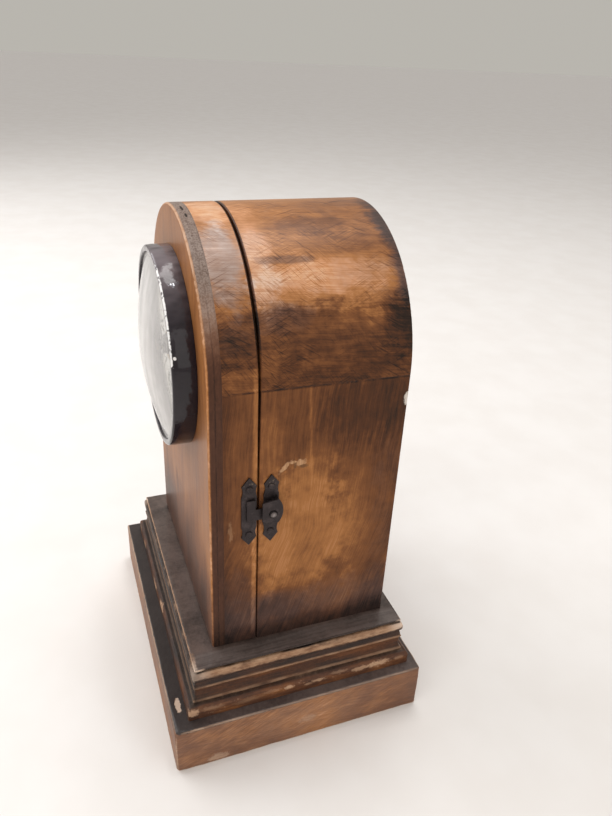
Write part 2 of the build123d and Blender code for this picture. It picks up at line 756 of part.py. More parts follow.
def make_train():
    """Going train from the rotor to the centre wheel, motion work to the hands, and the setting knob."""
    arbor_front = -arbor_sink + arbor_end
    arbor_rear = bridge_high - arbor_end

    rotor = pinion(rotor_module, rotor_leaves, rotor_level, rotor_place, intermediate_place)
    rotor += deep(arbor_radius, arbor_front, arbor_rear, rotor_place)
    rotor += deep(magnet_radius, magnet_low, magnet_low + magnet_thickness, rotor_place)
    parts["rotor"] = dial_frame * rotor

    intermediate = wheel(rotor_module, intermediate_teeth, rotor_level, intermediate_place, rotor_place)
    intermediate += pinion(seconds_module, intermediate_leaves, seconds_level,
                           intermediate_place, centre)
    intermediate += deep(arbor_radius, arbor_front, arbor_rear, intermediate_place)
    parts["intermediate_wheel"] = dial_frame * intermediate

    seconds = wheel(seconds_module, seconds_teeth, seconds_level, centre, intermediate_place)
    seconds += pinion(third_module, seconds_leaves, third_level, centre, third_place)
    seconds += rod(arbor_radius, train_floor - arbor_rear, seconds_arbor_top)
    parts["seconds_wheel"] = dial_frame * seconds

    third = wheel(third_module, third_teeth, third_level, third_place, centre)
    third += pinion(centre_module, third_leaves, centre_level, third_place, centre)
    third += deep(arbor_radius, arbor_front, arbor_rear, third_place)
    parts["third_wheel"] = dial_frame * third

    clutch_end = level_depth(centre_level) + wheel_thickness + leaf_overlap
    hub = wheel(centre_module, centre_teeth, centre_level, centre, third_place)
    parts["centre_wheel"] = dial_frame * (hub - deep(clutch_radius + running_clearance, 0, clutch_end))

    cannon_rear = level_depth(cannon_level) + wheel_thickness + leaf_overlap
    cannon = pinion(cannon_module, cannon_leaves, cannon_level, centre, motion_place)
    cannon += rod(cannon_radius, train_floor - cannon_rear, cannon_top)
    cannon += deep(clutch_radius, cannon_rear, clutch_end)
    cannon -= rod(arbor_radius + running_clearance, train_floor - clutch_end, cannon_top)
    parts["cannon_pinion"] = dial_frame * cannon

    hour = wheel(hour_module, hour_teeth, hour_level, centre, motion_place)
    hour_rear = level_depth(hour_level) + wheel_thickness
    hour += rod(hour_tube_radius, train_floor - hour_rear, hour_tube_top)
    hour -= rod(cannon_radius + running_clearance, train_floor - hour_rear, hour_tube_top)
    parts["hour_wheel"] = dial_frame * hour

    motion_rear = level_depth(cannon_level) + wheel_thickness
    motion = wheel(cannon_module, motion_teeth, cannon_level, motion_place, centre)
    motion += pinion(hour_module, motion_leaves, hour_level, motion_place, centre)
    motion += deep(2 * motion_post_radius, level_depth(hour_level), motion_rear, motion_place)
    motion -= deep(motion_post_radius + running_clearance, 0, motion_rear, motion_place)
    parts["motion_wheel"] = dial_frame * motion

    towards_setting = bearing_to(motion_place, setting_place)
    motion_pitch = 360 / motion_teeth
    first_tooth = bearing_to(motion_place, centre) + 180 / motion_teeth
    lag = ((towards_setting - first_tooth) % motion_pitch) / motion_pitch
    knob_low = cover_high + knob_gap
    knob = pinion(cannon_module, setting_leaves, cannon_level, setting_place, motion_place,
                  (lag + 0.5) * 360 / setting_leaves)
    knob += deep(setting_arbor_radius, arbor_front, knob_low, setting_place)
    knob += deep(knob_radius, knob_low, knob_low + knob_height, setting_place)
    for notch in range(knob_notches):
        spot = polar(setting_place, knob_radius, notch * 360 / knob_notches)
        knob -= deep(knob_notch, knob_low, knob_low + knob_height, spot)
    parts["setting_knob"] = dial_frame * knob


def make_housing():
    """Front housing with bush, posts and battery bay, back cover, bridge and fixings."""
    def shell(half_width, bottom, top, near, far):
        width = 2 * half_width
        face = RectangleRounded(width, top - bottom, housing_corner)
        return Pos(0, (top + bottom) / 2, train_floor - far) * extrude(face, far - near)

    inner_half = housing_half_width - housing_wall
    inner_bottom = housing_bottom + housing_wall
    inner_top = housing_top - housing_wall
    housing = shell(housing_half_width, housing_bottom, housing_top, -housing_floor, cover_low)
    housing -= shell(inner_half, inner_bottom, inner_top, 0, cover_low)
    housing += rod(bush_radius, movement_face, bush_top)
    housing -= rod(hour_tube_radius + running_clearance, train_floor, bush_top)
    housing += block(-inner_half, inner_half, bay_top, bay_top + bay_wall,
                     train_floor - bridge_low, train_floor)
    for place in post_places:
        housing += deep(post_radius, 0, bridge_low, place)
        pilot = deep(bridge_screw_radius + fastener_clearance,
                     bridge_high - bridge_screw_length - fastener_clearance, bridge_low, place)
        housing -= pilot
    stator_posts = [(rotor_place[0] + side * (stator_half_width - stator_leg / 2), coil_y)
                    for side in (-1, 1)]
    for place in stator_posts:
        housing += deep(stator_leg / 2, 0, stator_low, place)
    board_rests = [(board_x, board_y + side * (board_height / 2 - board_post_radius)) for side in (-1, 1)]
    for place in board_rests:
        housing += deep(board_post_radius, 0, stator_low, place)
    housing += deep(motion_post_radius, 0, level_depth(cannon_level) + wheel_thickness, motion_place)
    for place in (rotor_place, intermediate_place, third_place):
        housing -= deep(arbor_radius + running_clearance, -arbor_sink, 0, place)
    housing -= deep(setting_arbor_radius + running_clearance, -arbor_sink, 0, setting_place)
    parts["movement_housing"] = dial_frame * housing

    cover = shell(housing_half_width, housing_bottom, housing_top, cover_low, cover_high)
    cover -= block(-inner_half, inner_half, inner_bottom, bay_top,
                   train_floor - cover_high, train_floor - cover_low)
    cover -= deep(setting_arbor_radius + running_clearance, cover_low, cover_high, setting_place)
    parts["movement_cover"] = dial_frame * cover

    bridge_top = rotor_place[1] + bridge_top_margin
    bridge = block(-bridge_left, bridge_right, bridge_bottom, bridge_top,
                   train_floor - bridge_high, train_floor - bridge_low)
    for place in (rotor_place, intermediate_place, third_place, centre):
        bridge -= deep(arbor_radius + running_clearance, bridge_low, bridge_high, place)
    bridge -= deep(setting_arbor_radius + running_clearance, bridge_low, bridge_high, setting_place)
    screws = []
    for place in post_places:
        tip = bridge_high - bridge_screw_length
        screws.append(dial_frame * (deep(bridge_screw_radius, tip, bridge_high, place)
                                    + deep(bridge_screw_head_radius, bridge_high,
                                           bridge_high + bridge_screw_head_height, place)))
        bridge -= deep(bridge_screw_radius + fastener_clearance, bridge_low, bridge_high, place)
    parts["train_bridge"] = dial_frame * bridge
    parts["bridge_screws"] = group(screws)

    gasket = rod(gasket_radius, movement_face, -panel_thickness)
    bush_bore = bush_radius + fastener_clearance
    parts["movement_gasket"] = dial_frame * (gasket - rod(bush_bore, movement_face, -panel_thickness))
    washer = rod(washer_radius, dial_top, dial_top + washer_thickness)
    parts["fixing_washer"] = dial_frame * (washer - rod(bush_bore, dial_top, dial_top + washer_thickness))
    nut_low = dial_top + washer_thickness
    nut = Pos(0, 0, nut_low) * extrude(RegularPolygon(nut_radius, 6), nut_thickness)
    parts["fixing_nut"] = dial_frame * (nut - rod(bush_bore, nut_low, nut_top))


def make_motor():
    """Stator and coil round the rotor, circuit board with its crystal, battery and contacts."""
    stator_high = stator_low + stator_thickness
    left = rotor_place[0] - stator_half_width
    right = rotor_place[0] + stator_half_width
    bottom = rotor_place[1] - stator_margin
    neck = rotor_place[1] + stator_margin
    core_low = coil_y - coil_core_height / 2
    core_high = coil_y + coil_core_height / 2

    def plate(x_low, x_high, y_low, y_high):
        return block(x_low, x_high, y_low, y_high, train_floor - stator_high, train_floor - stator_low)

    stator = plate(left, right, bottom, neck)
    stator += plate(left, left + stator_leg, bottom, core_high)
    stator += plate(right - stator_leg, right, bottom, core_high)
    stator += plate(left, right, core_low, core_high)
    stator -= deep(magnet_radius + magnet_air, stator_low, stator_high, rotor_place)
    parts["stator"] = dial_frame * stator

    coil_depth = (stator_low + stator_high) / 2
    coil_low = left + stator_leg + board_clearance
    coil_high = right - stator_leg - board_clearance
    along = Plane(origin=(coil_low, coil_y, train_floor - coil_depth), x_dir=(0, 1, 0), z_dir=(1, 0, 0))
    length = coil_high - coil_low
    coil = rod(coil_radius, 0, length)
    for start in (0, length - coil_flange_thickness):
        coil += rod(coil_radius + coil_flange_step, start, start + coil_flange_thickness)
    coil -= block(-coil_core_height / 2 - fastener_clearance, coil_core_height / 2 + fastener_clearance,
                  -stator_thickness / 2 - fastener_clearance,
                  stator_thickness / 2 + fastener_clearance, 0, length)
    parts["drive_coil"] = dial_frame * (along * coil)

    board = block(board_x - board_width / 2, board_x + board_width / 2,
                  board_y - board_height / 2, board_y + board_height / 2,
                  train_floor - stator_low - board_thickness, train_floor - stator_low)
    parts["circuit_board"] = dial_frame * board
    can = Plane(origin=(board_x, board_y - crystal_length / 2, train_floor - stator_low + crystal_radius),
                x_dir=(1, 0, 0), z_dir=(0, 1, 0))
    parts["quartz_crystal"] = dial_frame * (can * rod(crystal_radius, 0, crystal_length))

    battery_start = -battery_length / 2 - battery_nub_length / 2
    line = Plane(origin=(battery_start, battery_y, train_floor - battery_depth),
                 x_dir=(0, 1, 0), z_dir=(1, 0, 0))
    cell = rod(battery_radius, 0, battery_length)
    cell += rod(battery_nub_radius, battery_length, battery_length + battery_nub_length)
    parts["battery"] = dial_frame * (line * cell)

    wall_face = housing_half_width - housing_wall
    for name, sense in (("positive", 1), ("negative", -1)):
        plate_face = wall_face - contact_thickness
        touch = wall_face - contact_space + contact_touch_gap
        contact = block(min(sense * wall_face, sense * plate_face),
                        max(sense * wall_face, sense * plate_face),
                        battery_y - contact_height / 2, battery_y + contact_height / 2,
                        train_floor - battery_depth - contact_width / 2,
                        train_floor - battery_depth + contact_width / 2)
        button = Plane(origin=(sense * touch, battery_y, train_floor - battery_depth),
                       x_dir=(0, 1, 0), z_dir=(sense, 0, 0))
        contact += button * Cone(battery_nub_radius / 2, battery_nub_radius, plate_face - touch, align=BASE)
        parts[f"battery_contact_{name}"] = dial_frame * contact


make_plinth()
make_wood()
make_hinges()
make_latch()
make_insert()
make_hands()
make_train()
make_housing()
make_motor()

os.makedirs("parts", exist_ok=True)
for name, shape in parts.items():
    export_step(shape, f"parts/{name}.step")
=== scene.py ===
"""Looks of a round-topped wooden mantel clock on a moulded plinth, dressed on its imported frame."""
import bpy
import bmesh
import json
import math
from collections import namedtuple
from mathutils import Matrix, Vector, noise

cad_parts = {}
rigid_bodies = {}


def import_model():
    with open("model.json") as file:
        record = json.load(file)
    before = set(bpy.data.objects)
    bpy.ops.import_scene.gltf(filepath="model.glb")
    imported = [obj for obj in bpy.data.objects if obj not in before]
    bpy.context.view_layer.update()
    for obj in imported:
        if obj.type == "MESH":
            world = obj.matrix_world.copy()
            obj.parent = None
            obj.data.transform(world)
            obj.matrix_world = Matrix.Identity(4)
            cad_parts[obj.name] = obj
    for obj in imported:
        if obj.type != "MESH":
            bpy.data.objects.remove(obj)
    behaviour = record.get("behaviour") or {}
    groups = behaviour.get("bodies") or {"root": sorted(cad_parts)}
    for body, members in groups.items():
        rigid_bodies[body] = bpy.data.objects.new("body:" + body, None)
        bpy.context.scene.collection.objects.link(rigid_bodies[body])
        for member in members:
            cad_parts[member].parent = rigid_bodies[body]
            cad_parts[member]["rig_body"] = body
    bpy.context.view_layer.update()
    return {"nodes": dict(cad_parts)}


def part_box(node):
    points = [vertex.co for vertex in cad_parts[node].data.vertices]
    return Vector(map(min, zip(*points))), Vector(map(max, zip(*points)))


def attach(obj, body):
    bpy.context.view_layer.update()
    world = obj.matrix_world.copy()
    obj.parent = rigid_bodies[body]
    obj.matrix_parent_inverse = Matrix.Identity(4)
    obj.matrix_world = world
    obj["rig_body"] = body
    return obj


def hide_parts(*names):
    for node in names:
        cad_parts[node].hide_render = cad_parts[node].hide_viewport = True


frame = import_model()
nodes = frame["nodes"]
scene = bpy.context.scene

# Millimetres to metres
MM = 0.001


def corners(node):
    """Lowest and highest corner of a node, in millimetres."""
    low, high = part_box(node)
    return low * 1000, high * 1000


# Measures read from the frame, in millimetres
side_low, side_high = corners("case_side_right")
panel_low, panel_high = corners("door_front_panel")
slab_high = corners("base_slab")[1]
foot_low, foot_high = corners("plinth_moulding")
bezel_low, bezel_high = corners("bezel")
dial_low = corners("dial")[0]
catch_high = corners("latch_catch_plate")[1]

HALF_CASE, BOX_REAR, SPRING = side_high
PLINTH_TOP = side_low.z
BOX_FRONT = side_low.y
DOOR_FRONT, PANEL_REAR = panel_low.y, panel_high.y
DOOR_REAR = corners("door_stile_right")[1].y
SEAM = (BOX_FRONT + DOOR_REAR) / 2
HALF_WIDTH, HALF_DEPTH, SLAB_TOP = slab_high
FOOT_X = foot_high.x
FOOT_Y = (foot_high.y - foot_low.y) / 2
FOOT_MIDDLE = (foot_high.y + foot_low.y) / 2
DIAL_Z = (bezel_low.z + bezel_high.z) / 2
BEZEL_RADIUS = bezel_high.x
BEZEL_DEPTH = DOOR_FRONT - bezel_low.y

# Dial frame: x right, y up, z out of the door's front
DIAL_PLACE = Matrix(((1, 0, 0, 0), (0, 0, -1, DOOR_FRONT), (0, 1, 0, DIAL_Z), (0, 0, 0, 1)))


class Flow:
    """One value in a node tree. Ordinary arithmetic on it adds Math nodes."""

    def __init__(self, tree, socket):
        self.tree = tree
        self.socket = socket

    def out(self, name):
        """Another output of the same node."""
        return Flow(self.tree, self.socket.node.outputs[name])

    def math(self, operation, *others, clamp=False):
        values = dict(enumerate((self, *others)))
        return self.tree.node("ShaderNodeMath", {"operation": operation, "use_clamp": clamp}, values)

    def flipped(self, operation, other):
        return self.tree.node("ShaderNodeMath", {"operation": operation}, {0: other, 1: self})

    def __add__(self, other):
        return self.math("ADD", other)

    __radd__ = __add__

    def __mul__(self, other):
        return self.math("MULTIPLY", other)

    __rmul__ = __mul__

    def __sub__(self, other):
        return self.math("SUBTRACT", other)

    def __rsub__(self, other):
        return self.flipped("SUBTRACT", other)

    def __truediv__(self, other):
        return self.math("DIVIDE", other)

    def __rtruediv__(self, other):
        return self.flipped("DIVIDE", other)

    def __pow__(self, other):
        return self.math("POWER", other)

    def __abs__(self):
        return self.math("ABSOLUTE")

    def least(self, other):
        return self.math("MINIMUM", other)

    def most(self, other):
        return self.math("MAXIMUM", other)

    def beside(self, other):
        """Distance from zero of a point with this coordinate and another."""
        return (self * self + other * other) ** 0.5

    def held(self):
        """The value kept between 0 and 1."""
        return self.math("ADD", 0, clamp=True)

    def fade(self, start, end, low=0.0, high=1.0):
        """Smooth change from low to high as the value goes from start to end."""
        sockets = {"Value": self, "From Min": start, "From Max": end, "To Min": low, "To Max": high}
        return self.tree.node("ShaderNodeMapRange", {"interpolation_type": "SMOOTHSTEP"}, sockets)


class Tree:
    """A node tree that is written one node at a time."""

    def __init__(self, tree):
        self.tree = tree

    def node(self, kind, settings=None, sockets=None, out=0):
        """Makes a node: its type, its settings first, then the values or links of its sockets."""
        made = self.tree.nodes.new(kind)
        for name, value in (settings or {}).items():
            if name == "stops":
                elements = made.color_ramp.elements
                elements.remove(elements[1])
                elements[0].position, elements[0].color = value[0][0], (*value[0][1], 1)
                for position, colour in value[1:]:
                    elements.new(position).color = (*colour, 1)
            else:
                setattr(made, name, value)
        for name, value in (sockets or {}).items():
            socket = made.inputs[name]
            if isinstance(value, Flow):
                self.tree.links.new(value.socket, socket)
            elif socket.type == "RGBA" and len(value) == 3:
                socket.default_value = (*value, 1)
            else:
                socket.default_value = value
        return Flow(self, made.outputs[out]) if made.outputs else None


class Finish(Tree):
    """A procedural material, read from the piece's own coordinates in millimetres."""

    def __init__(self, name):
        self.material = bpy.data.materials.new(name)
        self.material.use_nodes = True
        super().__init__(self.material.node_tree)
        self.tree.nodes.clear()
        metres = self.node("ShaderNodeTexCoord", out="Object")
        self.place = self.vector_math("SCALE", {0: metres, "Scale": 1000})
        self.x = self.node("ShaderNodeSeparateXYZ", sockets={0: self.place})
        self.y, self.z = self.x.out("Y"), self.x.out("Z")

    def vector_math(self, operation, sockets, out=0):
        return self.node("ShaderNodeVectorMath", {"operation": operation}, sockets, out)

    def vector(self, x, y, z):
        return self.node("ShaderNodeCombineXYZ", sockets={0: x, 1: y, 2: z})

    def cloud(self, sizes, place=None, detail=2.0, rough=0.5, seed=0.0):
        """Soft noise about zero, whose lumps have one size, or three sizes on the three axes."""
        sizes = sizes if isinstance(sizes, tuple) else (sizes,) * 3
        scale = [1 / size for size in sizes]
        shift = (seed, 1.7 * seed, 0.6 * seed)
        scaled = self.vector_math("MULTIPLY_ADD", {0: place or self.place, 1: scale, 2: shift})
        made = self.node("ShaderNodeTexNoise", {"noise_dimensions": "3D"},
                         {"Vector": scaled, "Scale": 1.0, "Detail": detail, "Roughness": rough})
        return (made - 0.5) * 2

    def far_from(self, place, middle, half):
        """Distance from a middle, counted in half sizes."""
        shift = [-m / h for m, h in zip(middle, half)]
        local = self.vector_math("MULTIPLY_ADD", {0: place, 1: [1 / h for h in half], 2: shift})
        return self.vector_math("LENGTH", {0: local}, out="Value")

    def off(self, *spots, place=None):
        """Distance from the nearest of some spots, counted in their half sizes."""
        near, *others = (self.far_from(place or self.place, *spot) for spot in spots)
        for other in others:
            near = near.least(other)
        return near

    def tint(self, first, second, share):
        """One colour going over into another."""
        return self.node("ShaderNodeMix", {"data_type": "RGBA"}, {0: share, 6: first, 7: second}, out=2)

    def layers(self, colour, *coats):
        """A colour with other colours laid over it, each by its share."""
        for tone, share in coats:
            colour = self.tint(colour, tone, share)
        return colour

    def ramp(self, value, *stops):
        return self.node("ShaderNodeValToRGB", {"stops": stops}, {"Fac": value})

    def skin(self, sockets, height=None):
        """Ends in one Principled shader. Height is the relief in millimetres."""
        sockets = dict(sockets)
        if height is not None:
            sockets["Normal"] = self.node("ShaderNodeBump", sockets={"Height": height, "Distance": MM})
        shader = self.node("ShaderNodeBsdfPrincipled", sockets=sockets)
        self.node("ShaderNodeOutputMaterial", sockets={"Surface": shader})
        return self.material


# Tones of the stain, warm and dull, from soot to bare wood against a lightness from 0 to 1
STAIN_TONES = (
    (0.00, (0.012, 0.007, 0.005)),
    (0.15, (0.028, 0.015, 0.010)),
    (0.35, (0.092, 0.034, 0.014)),
    (0.55, (0.190, 0.072, 0.025)),
    (0.75, (0.360, 0.150, 0.048)),
    (0.90, (0.550, 0.260, 0.122)),
    (1.00, (0.680, 0.410, 0.235)),
)
DULL_TONES = (
    (0.00, (0.012, 0.009, 0.008)),
    (0.15, (0.028, 0.018, 0.016)),
    (0.35, (0.078, 0.042, 0.033)),
    (0.55, (0.155, 0.084, 0.060)),
    (0.75, (0.285, 0.188, 0.146)),
    (0.90, (0.425, 0.325, 0.282)),
    (1.00, (0.580, 0.480, 0.435)),
)
BARE_WOOD = (0.52, 0.345, 0.19)
BARE_WOOD_DARK = (0.36, 0.21, 0.105)
TORN_WOOD = (0.54, 0.315, 0.170)
TORN_WOOD_DARK = (0.36, 0.19, 0.09)
CRACK_BROWN = (0.11, 0.056, 0.027)
CHIP_WHITE = (0.62, 0.57, 0.51)
CHIP_GREY = (0.44, 0.36, 0.28)
NICK_BLACK = (0.012, 0.009, 0.008)
PIT_BLACK = (0.070, 0.056, 0.050)
PIT_GREY = (0.235, 0.196, 0.170)
ARRIS_TAN = (0.50, 0.355, 0.262)
LEDGE_BLACK = (0.036, 0.027, 0.026)
LEDGE_GREY = (0.100, 0.078, 0.070)
LEDGE_FRONT = (0.026, 0.020, 0.019)
SLAB_BARE = (0.50, 0.335, 0.230)
SLAB_BARE_DARK = (0.33, 0.185, 0.110)
SLAB_CHIP = (0.60, 0.445, 0.340)
DECK_BLACK = (0.044, 0.030, 0.025)
DECK_BROWN = (0.128, 0.088, 0.074)
# Grey of the deck's right side, soot and a painted sheen; then the painted shade of the deck's rim
DECK_SOOT_AND_SHEEN = (0.125, 0.102, 0.094)
DECK_RIM_SHADE = (0.034, 0.023, 0.019)
WORN_BROWN = (0.29, 0.150, 0.080)
WORN_TAN = (0.47, 0.295, 0.180)
SCAR_TAN = (0.52, 0.335, 0.215)
CORNER_CREAM = (0.74, 0.590, 0.480)

StainAndSheen = namedtuple("StainAndSheen", "depth girth half_depth half_girth lift dull")

# Marks of stain on the right side, by place on the depth and on the girth up the side and over the arch;
# two on the arch are painted sheen
SIDE_STAINS = (
    StainAndSheen(depth=2, girth=110, half_depth=23, half_girth=30, lift=0.24, dull=-0.30),
    StainAndSheen(depth=-12, girth=100, half_depth=10, half_girth=21, lift=0.16, dull=-0.20),
    StainAndSheen(depth=27, girth=112, half_depth=17, half_girth=30, lift=0.11, dull=-0.10),
    StainAndSheen(depth=3, girth=137, half_depth=15, half_girth=16, lift=0.18, dull=-0.20),
    StainAndSheen(depth=-14, girth=155, half_depth=6, half_girth=16, lift=0.13, dull=-0.20),
    StainAndSheen(depth=30, girth=170, half_depth=24, half_girth=16, lift=-0.14, dull=0.0),
    StainAndSheen(depth=5, girth=180, half_depth=62, half_girth=30, lift=0.01, dull=-0.35),
    StainAndSheen(depth=44, girth=120, half_depth=11, half_girth=70, lift=-0.06, dull=0.25),
    StainAndSheen(depth=-8, girth=70, half_depth=12, half_girth=10, lift=-0.08, dull=0.45),
    StainAndSheen(depth=20, girth=74, half_depth=13, half_girth=13, lift=0.10, dull=0.0),
    StainAndSheen(depth=2, girth=131, half_depth=5, half_girth=5, lift=-0.12, dull=0.30),
    StainAndSheen(depth=-29, girth=78, half_depth=9, half_girth=20, lift=-0.08, dull=0.45),
    StainAndSheen(depth=-27, girth=125, half_depth=9, half_girth=75, lift=0.05, dull=-0.15),
)
ARCH_STAINS_AND_SHEEN = (
    StainAndSheen(depth=-15, girth=198, half_depth=4, half_girth=16, lift=0.09, dull=0.0),
    StainAndSheen(depth=-5, girth=209, half_depth=13, half_girth=8, lift=0.03, dull=0.65),
    StainAndSheen(depth=25, girth=210, half_depth=13, half_girth=6, lift=0.18, dull=0.25),
    StainAndSheen(depth=42, girth=206, half_depth=9, half_girth=13, lift=-0.18, dull=0.20),
    StainAndSheen(depth=29, girth=194, half_depth=13, half_girth=6, lift=-0.06, dull=0.0),
    StainAndSheen(depth=12, girth=195, half_depth=50, half_girth=14, lift=0.0, dull=-0.35),
    StainAndSheen(depth=47, girth=246, half_depth=6, half_girth=44, lift=-0.17, dull=0.30),
    StainAndSheen(depth=-3, girth=235, half_depth=12, half_girth=2.2, lift=-0.20, dull=0.50),
    StainAndSheen(depth=12, girth=253, half_depth=21, half_girth=6, lift=-0.17, dull=0.10),
    StainAndSheen(depth=22, girth=243, half_depth=20, half_girth=6, lift=-0.10, dull=-0.20),
    StainAndSheen(depth=18, girth=227, half_depth=34, half_girth=8, lift=0.16, dull=0.20),
    # Painted sheen: a whitish glow on the arch beside the seam
    StainAndSheen(depth=-14, girth=232, half_depth=6, half_girth=24, lift=0.13, dull=0.30),
    StainAndSheen(depth=48, girth=252, half_depth=6.5, half_girth=18, lift=-0.22, dull=0.90),
    StainAndSheen(depth=48.5, girth=226, half_depth=4.5, half_girth=14, lift=-0.18, dull=0.70),
    StainAndSheen(depth=-27, girth=202, half_depth=9, half_girth=10, lift=-0.02, dull=0.45),
    # Painted sheen: the door arch greyed where light glances off it
    StainAndSheen(depth=-28, girth=234, half_depth=9, half_girth=20, lift=0.04, dull=1.0),
    StainAndSheen(depth=-27, girth=270, half_depth=9, half_girth=16, lift=0.20, dull=0.10),
    StainAndSheen(depth=24, girth=272, half_depth=30, half_girth=11, lift=-0.09, dull=0.15),
    StainAndSheen(depth=-14, girth=268, half_depth=6, half_girth=9, lift=0.09, dull=0.0),
)


# Girths between which the arch turns pale, on the case and on the door, and the lap below on the door
CASE_PALES, DOOR_PALES, LAP_GIRTH = (211, 219), (204, 227), 192.9
# Girths between which the front panel's edge turns pale, and grey, as a painted sheen over the arch
EDGE_SHEEN_PALES, EDGE_SHEEN_GREYS = (190, 220), (196, 232)
# Marks on the right side: a torn splinter with its cracks, a scrape, and a pale chip on the rear edge
Spot = namedtuple("Spot", "middle half")
SLIVER = Spot(middle=(HALF_CASE, -7.6, 146.6), half=(4, 4.4, 1.25))
SLIVER_RUN, SLIVER_RISE = 0.66, 0.75
SPLINTERS = (
    Spot(middle=(HALF_CASE, -0.5, 147.9), half=(4, 3.0, 1.9)),
    Spot(middle=(HALF_CASE, -3.6, 148.4), half=(4, 2.4, 0.9)),
)
CRACKS = (
    Spot(middle=(HALF_CASE, -2.9, 146.9), half=(4, 0.9, 1.9)),
    Spot(middle=(HALF_CASE, 0.9, 145.9), half=(4, 2.6, 1.0)),
)
SIDE_SCRAPE = Spot(middle=(HALF_CASE, -31.0, 117), half=(4, 1.7, 7.5))
REAR_CHIP = Spot(middle=(HALF_CASE, BOX_REAR, 172), half=(2.2, 2.0, 3.6))
# Marks on the front panel: a smudge on its face, and two nicks in its edge by depth and girth
SMUDGE = Spot(middle=(-14, DOOR_FRONT, 99), half=(6, 4, 8))
EDGE_NICKS = (
    Spot(middle=(DOOR_FRONT + 3.5, 271.3, 0), half=(0.55, 3.2, 1)),
    Spot(middle=(DOOR_FRONT + 3.7, 263.7, 0), half=(0.5, 1.8, 1)),
)


def case_outline(wood):
    """Radius of the outline through a point, and its way from the right foot and from the nearer foot."""
    rise = (wood.z - SPRING).most(0)
    reach = wood.x.beside(rise)
    turn = rise.math("ARCTAN2", wood.x)
    girth = turn * HALF_CASE + SPRING + (wood.z - SPRING).least(0) * wood.x.math("SIGN")
    lower_girth = girth.least(2 * SPRING + math.pi * HALF_CASE - girth)
    return reach, girth, lower_girth


def stain(wood, lightness, dullness):
    """Colour of the stain at a lightness, warm or, by the dullness, dull."""
    warm, dull = (wood.ramp(lightness, *tones) for tones in (STAIN_TONES, DULL_TONES))
    return wood.tint(warm, dull, dullness.held())


def rubbed_edge(wood, reach, place, ragged, wide, thin):
    """Share of an outer edge of the case, at a place on the depth, that is rubbed bare."""
    far = (HALF_CASE - reach).beside(wood.y - place)
    return (far + ragged).fade(wide, thin)


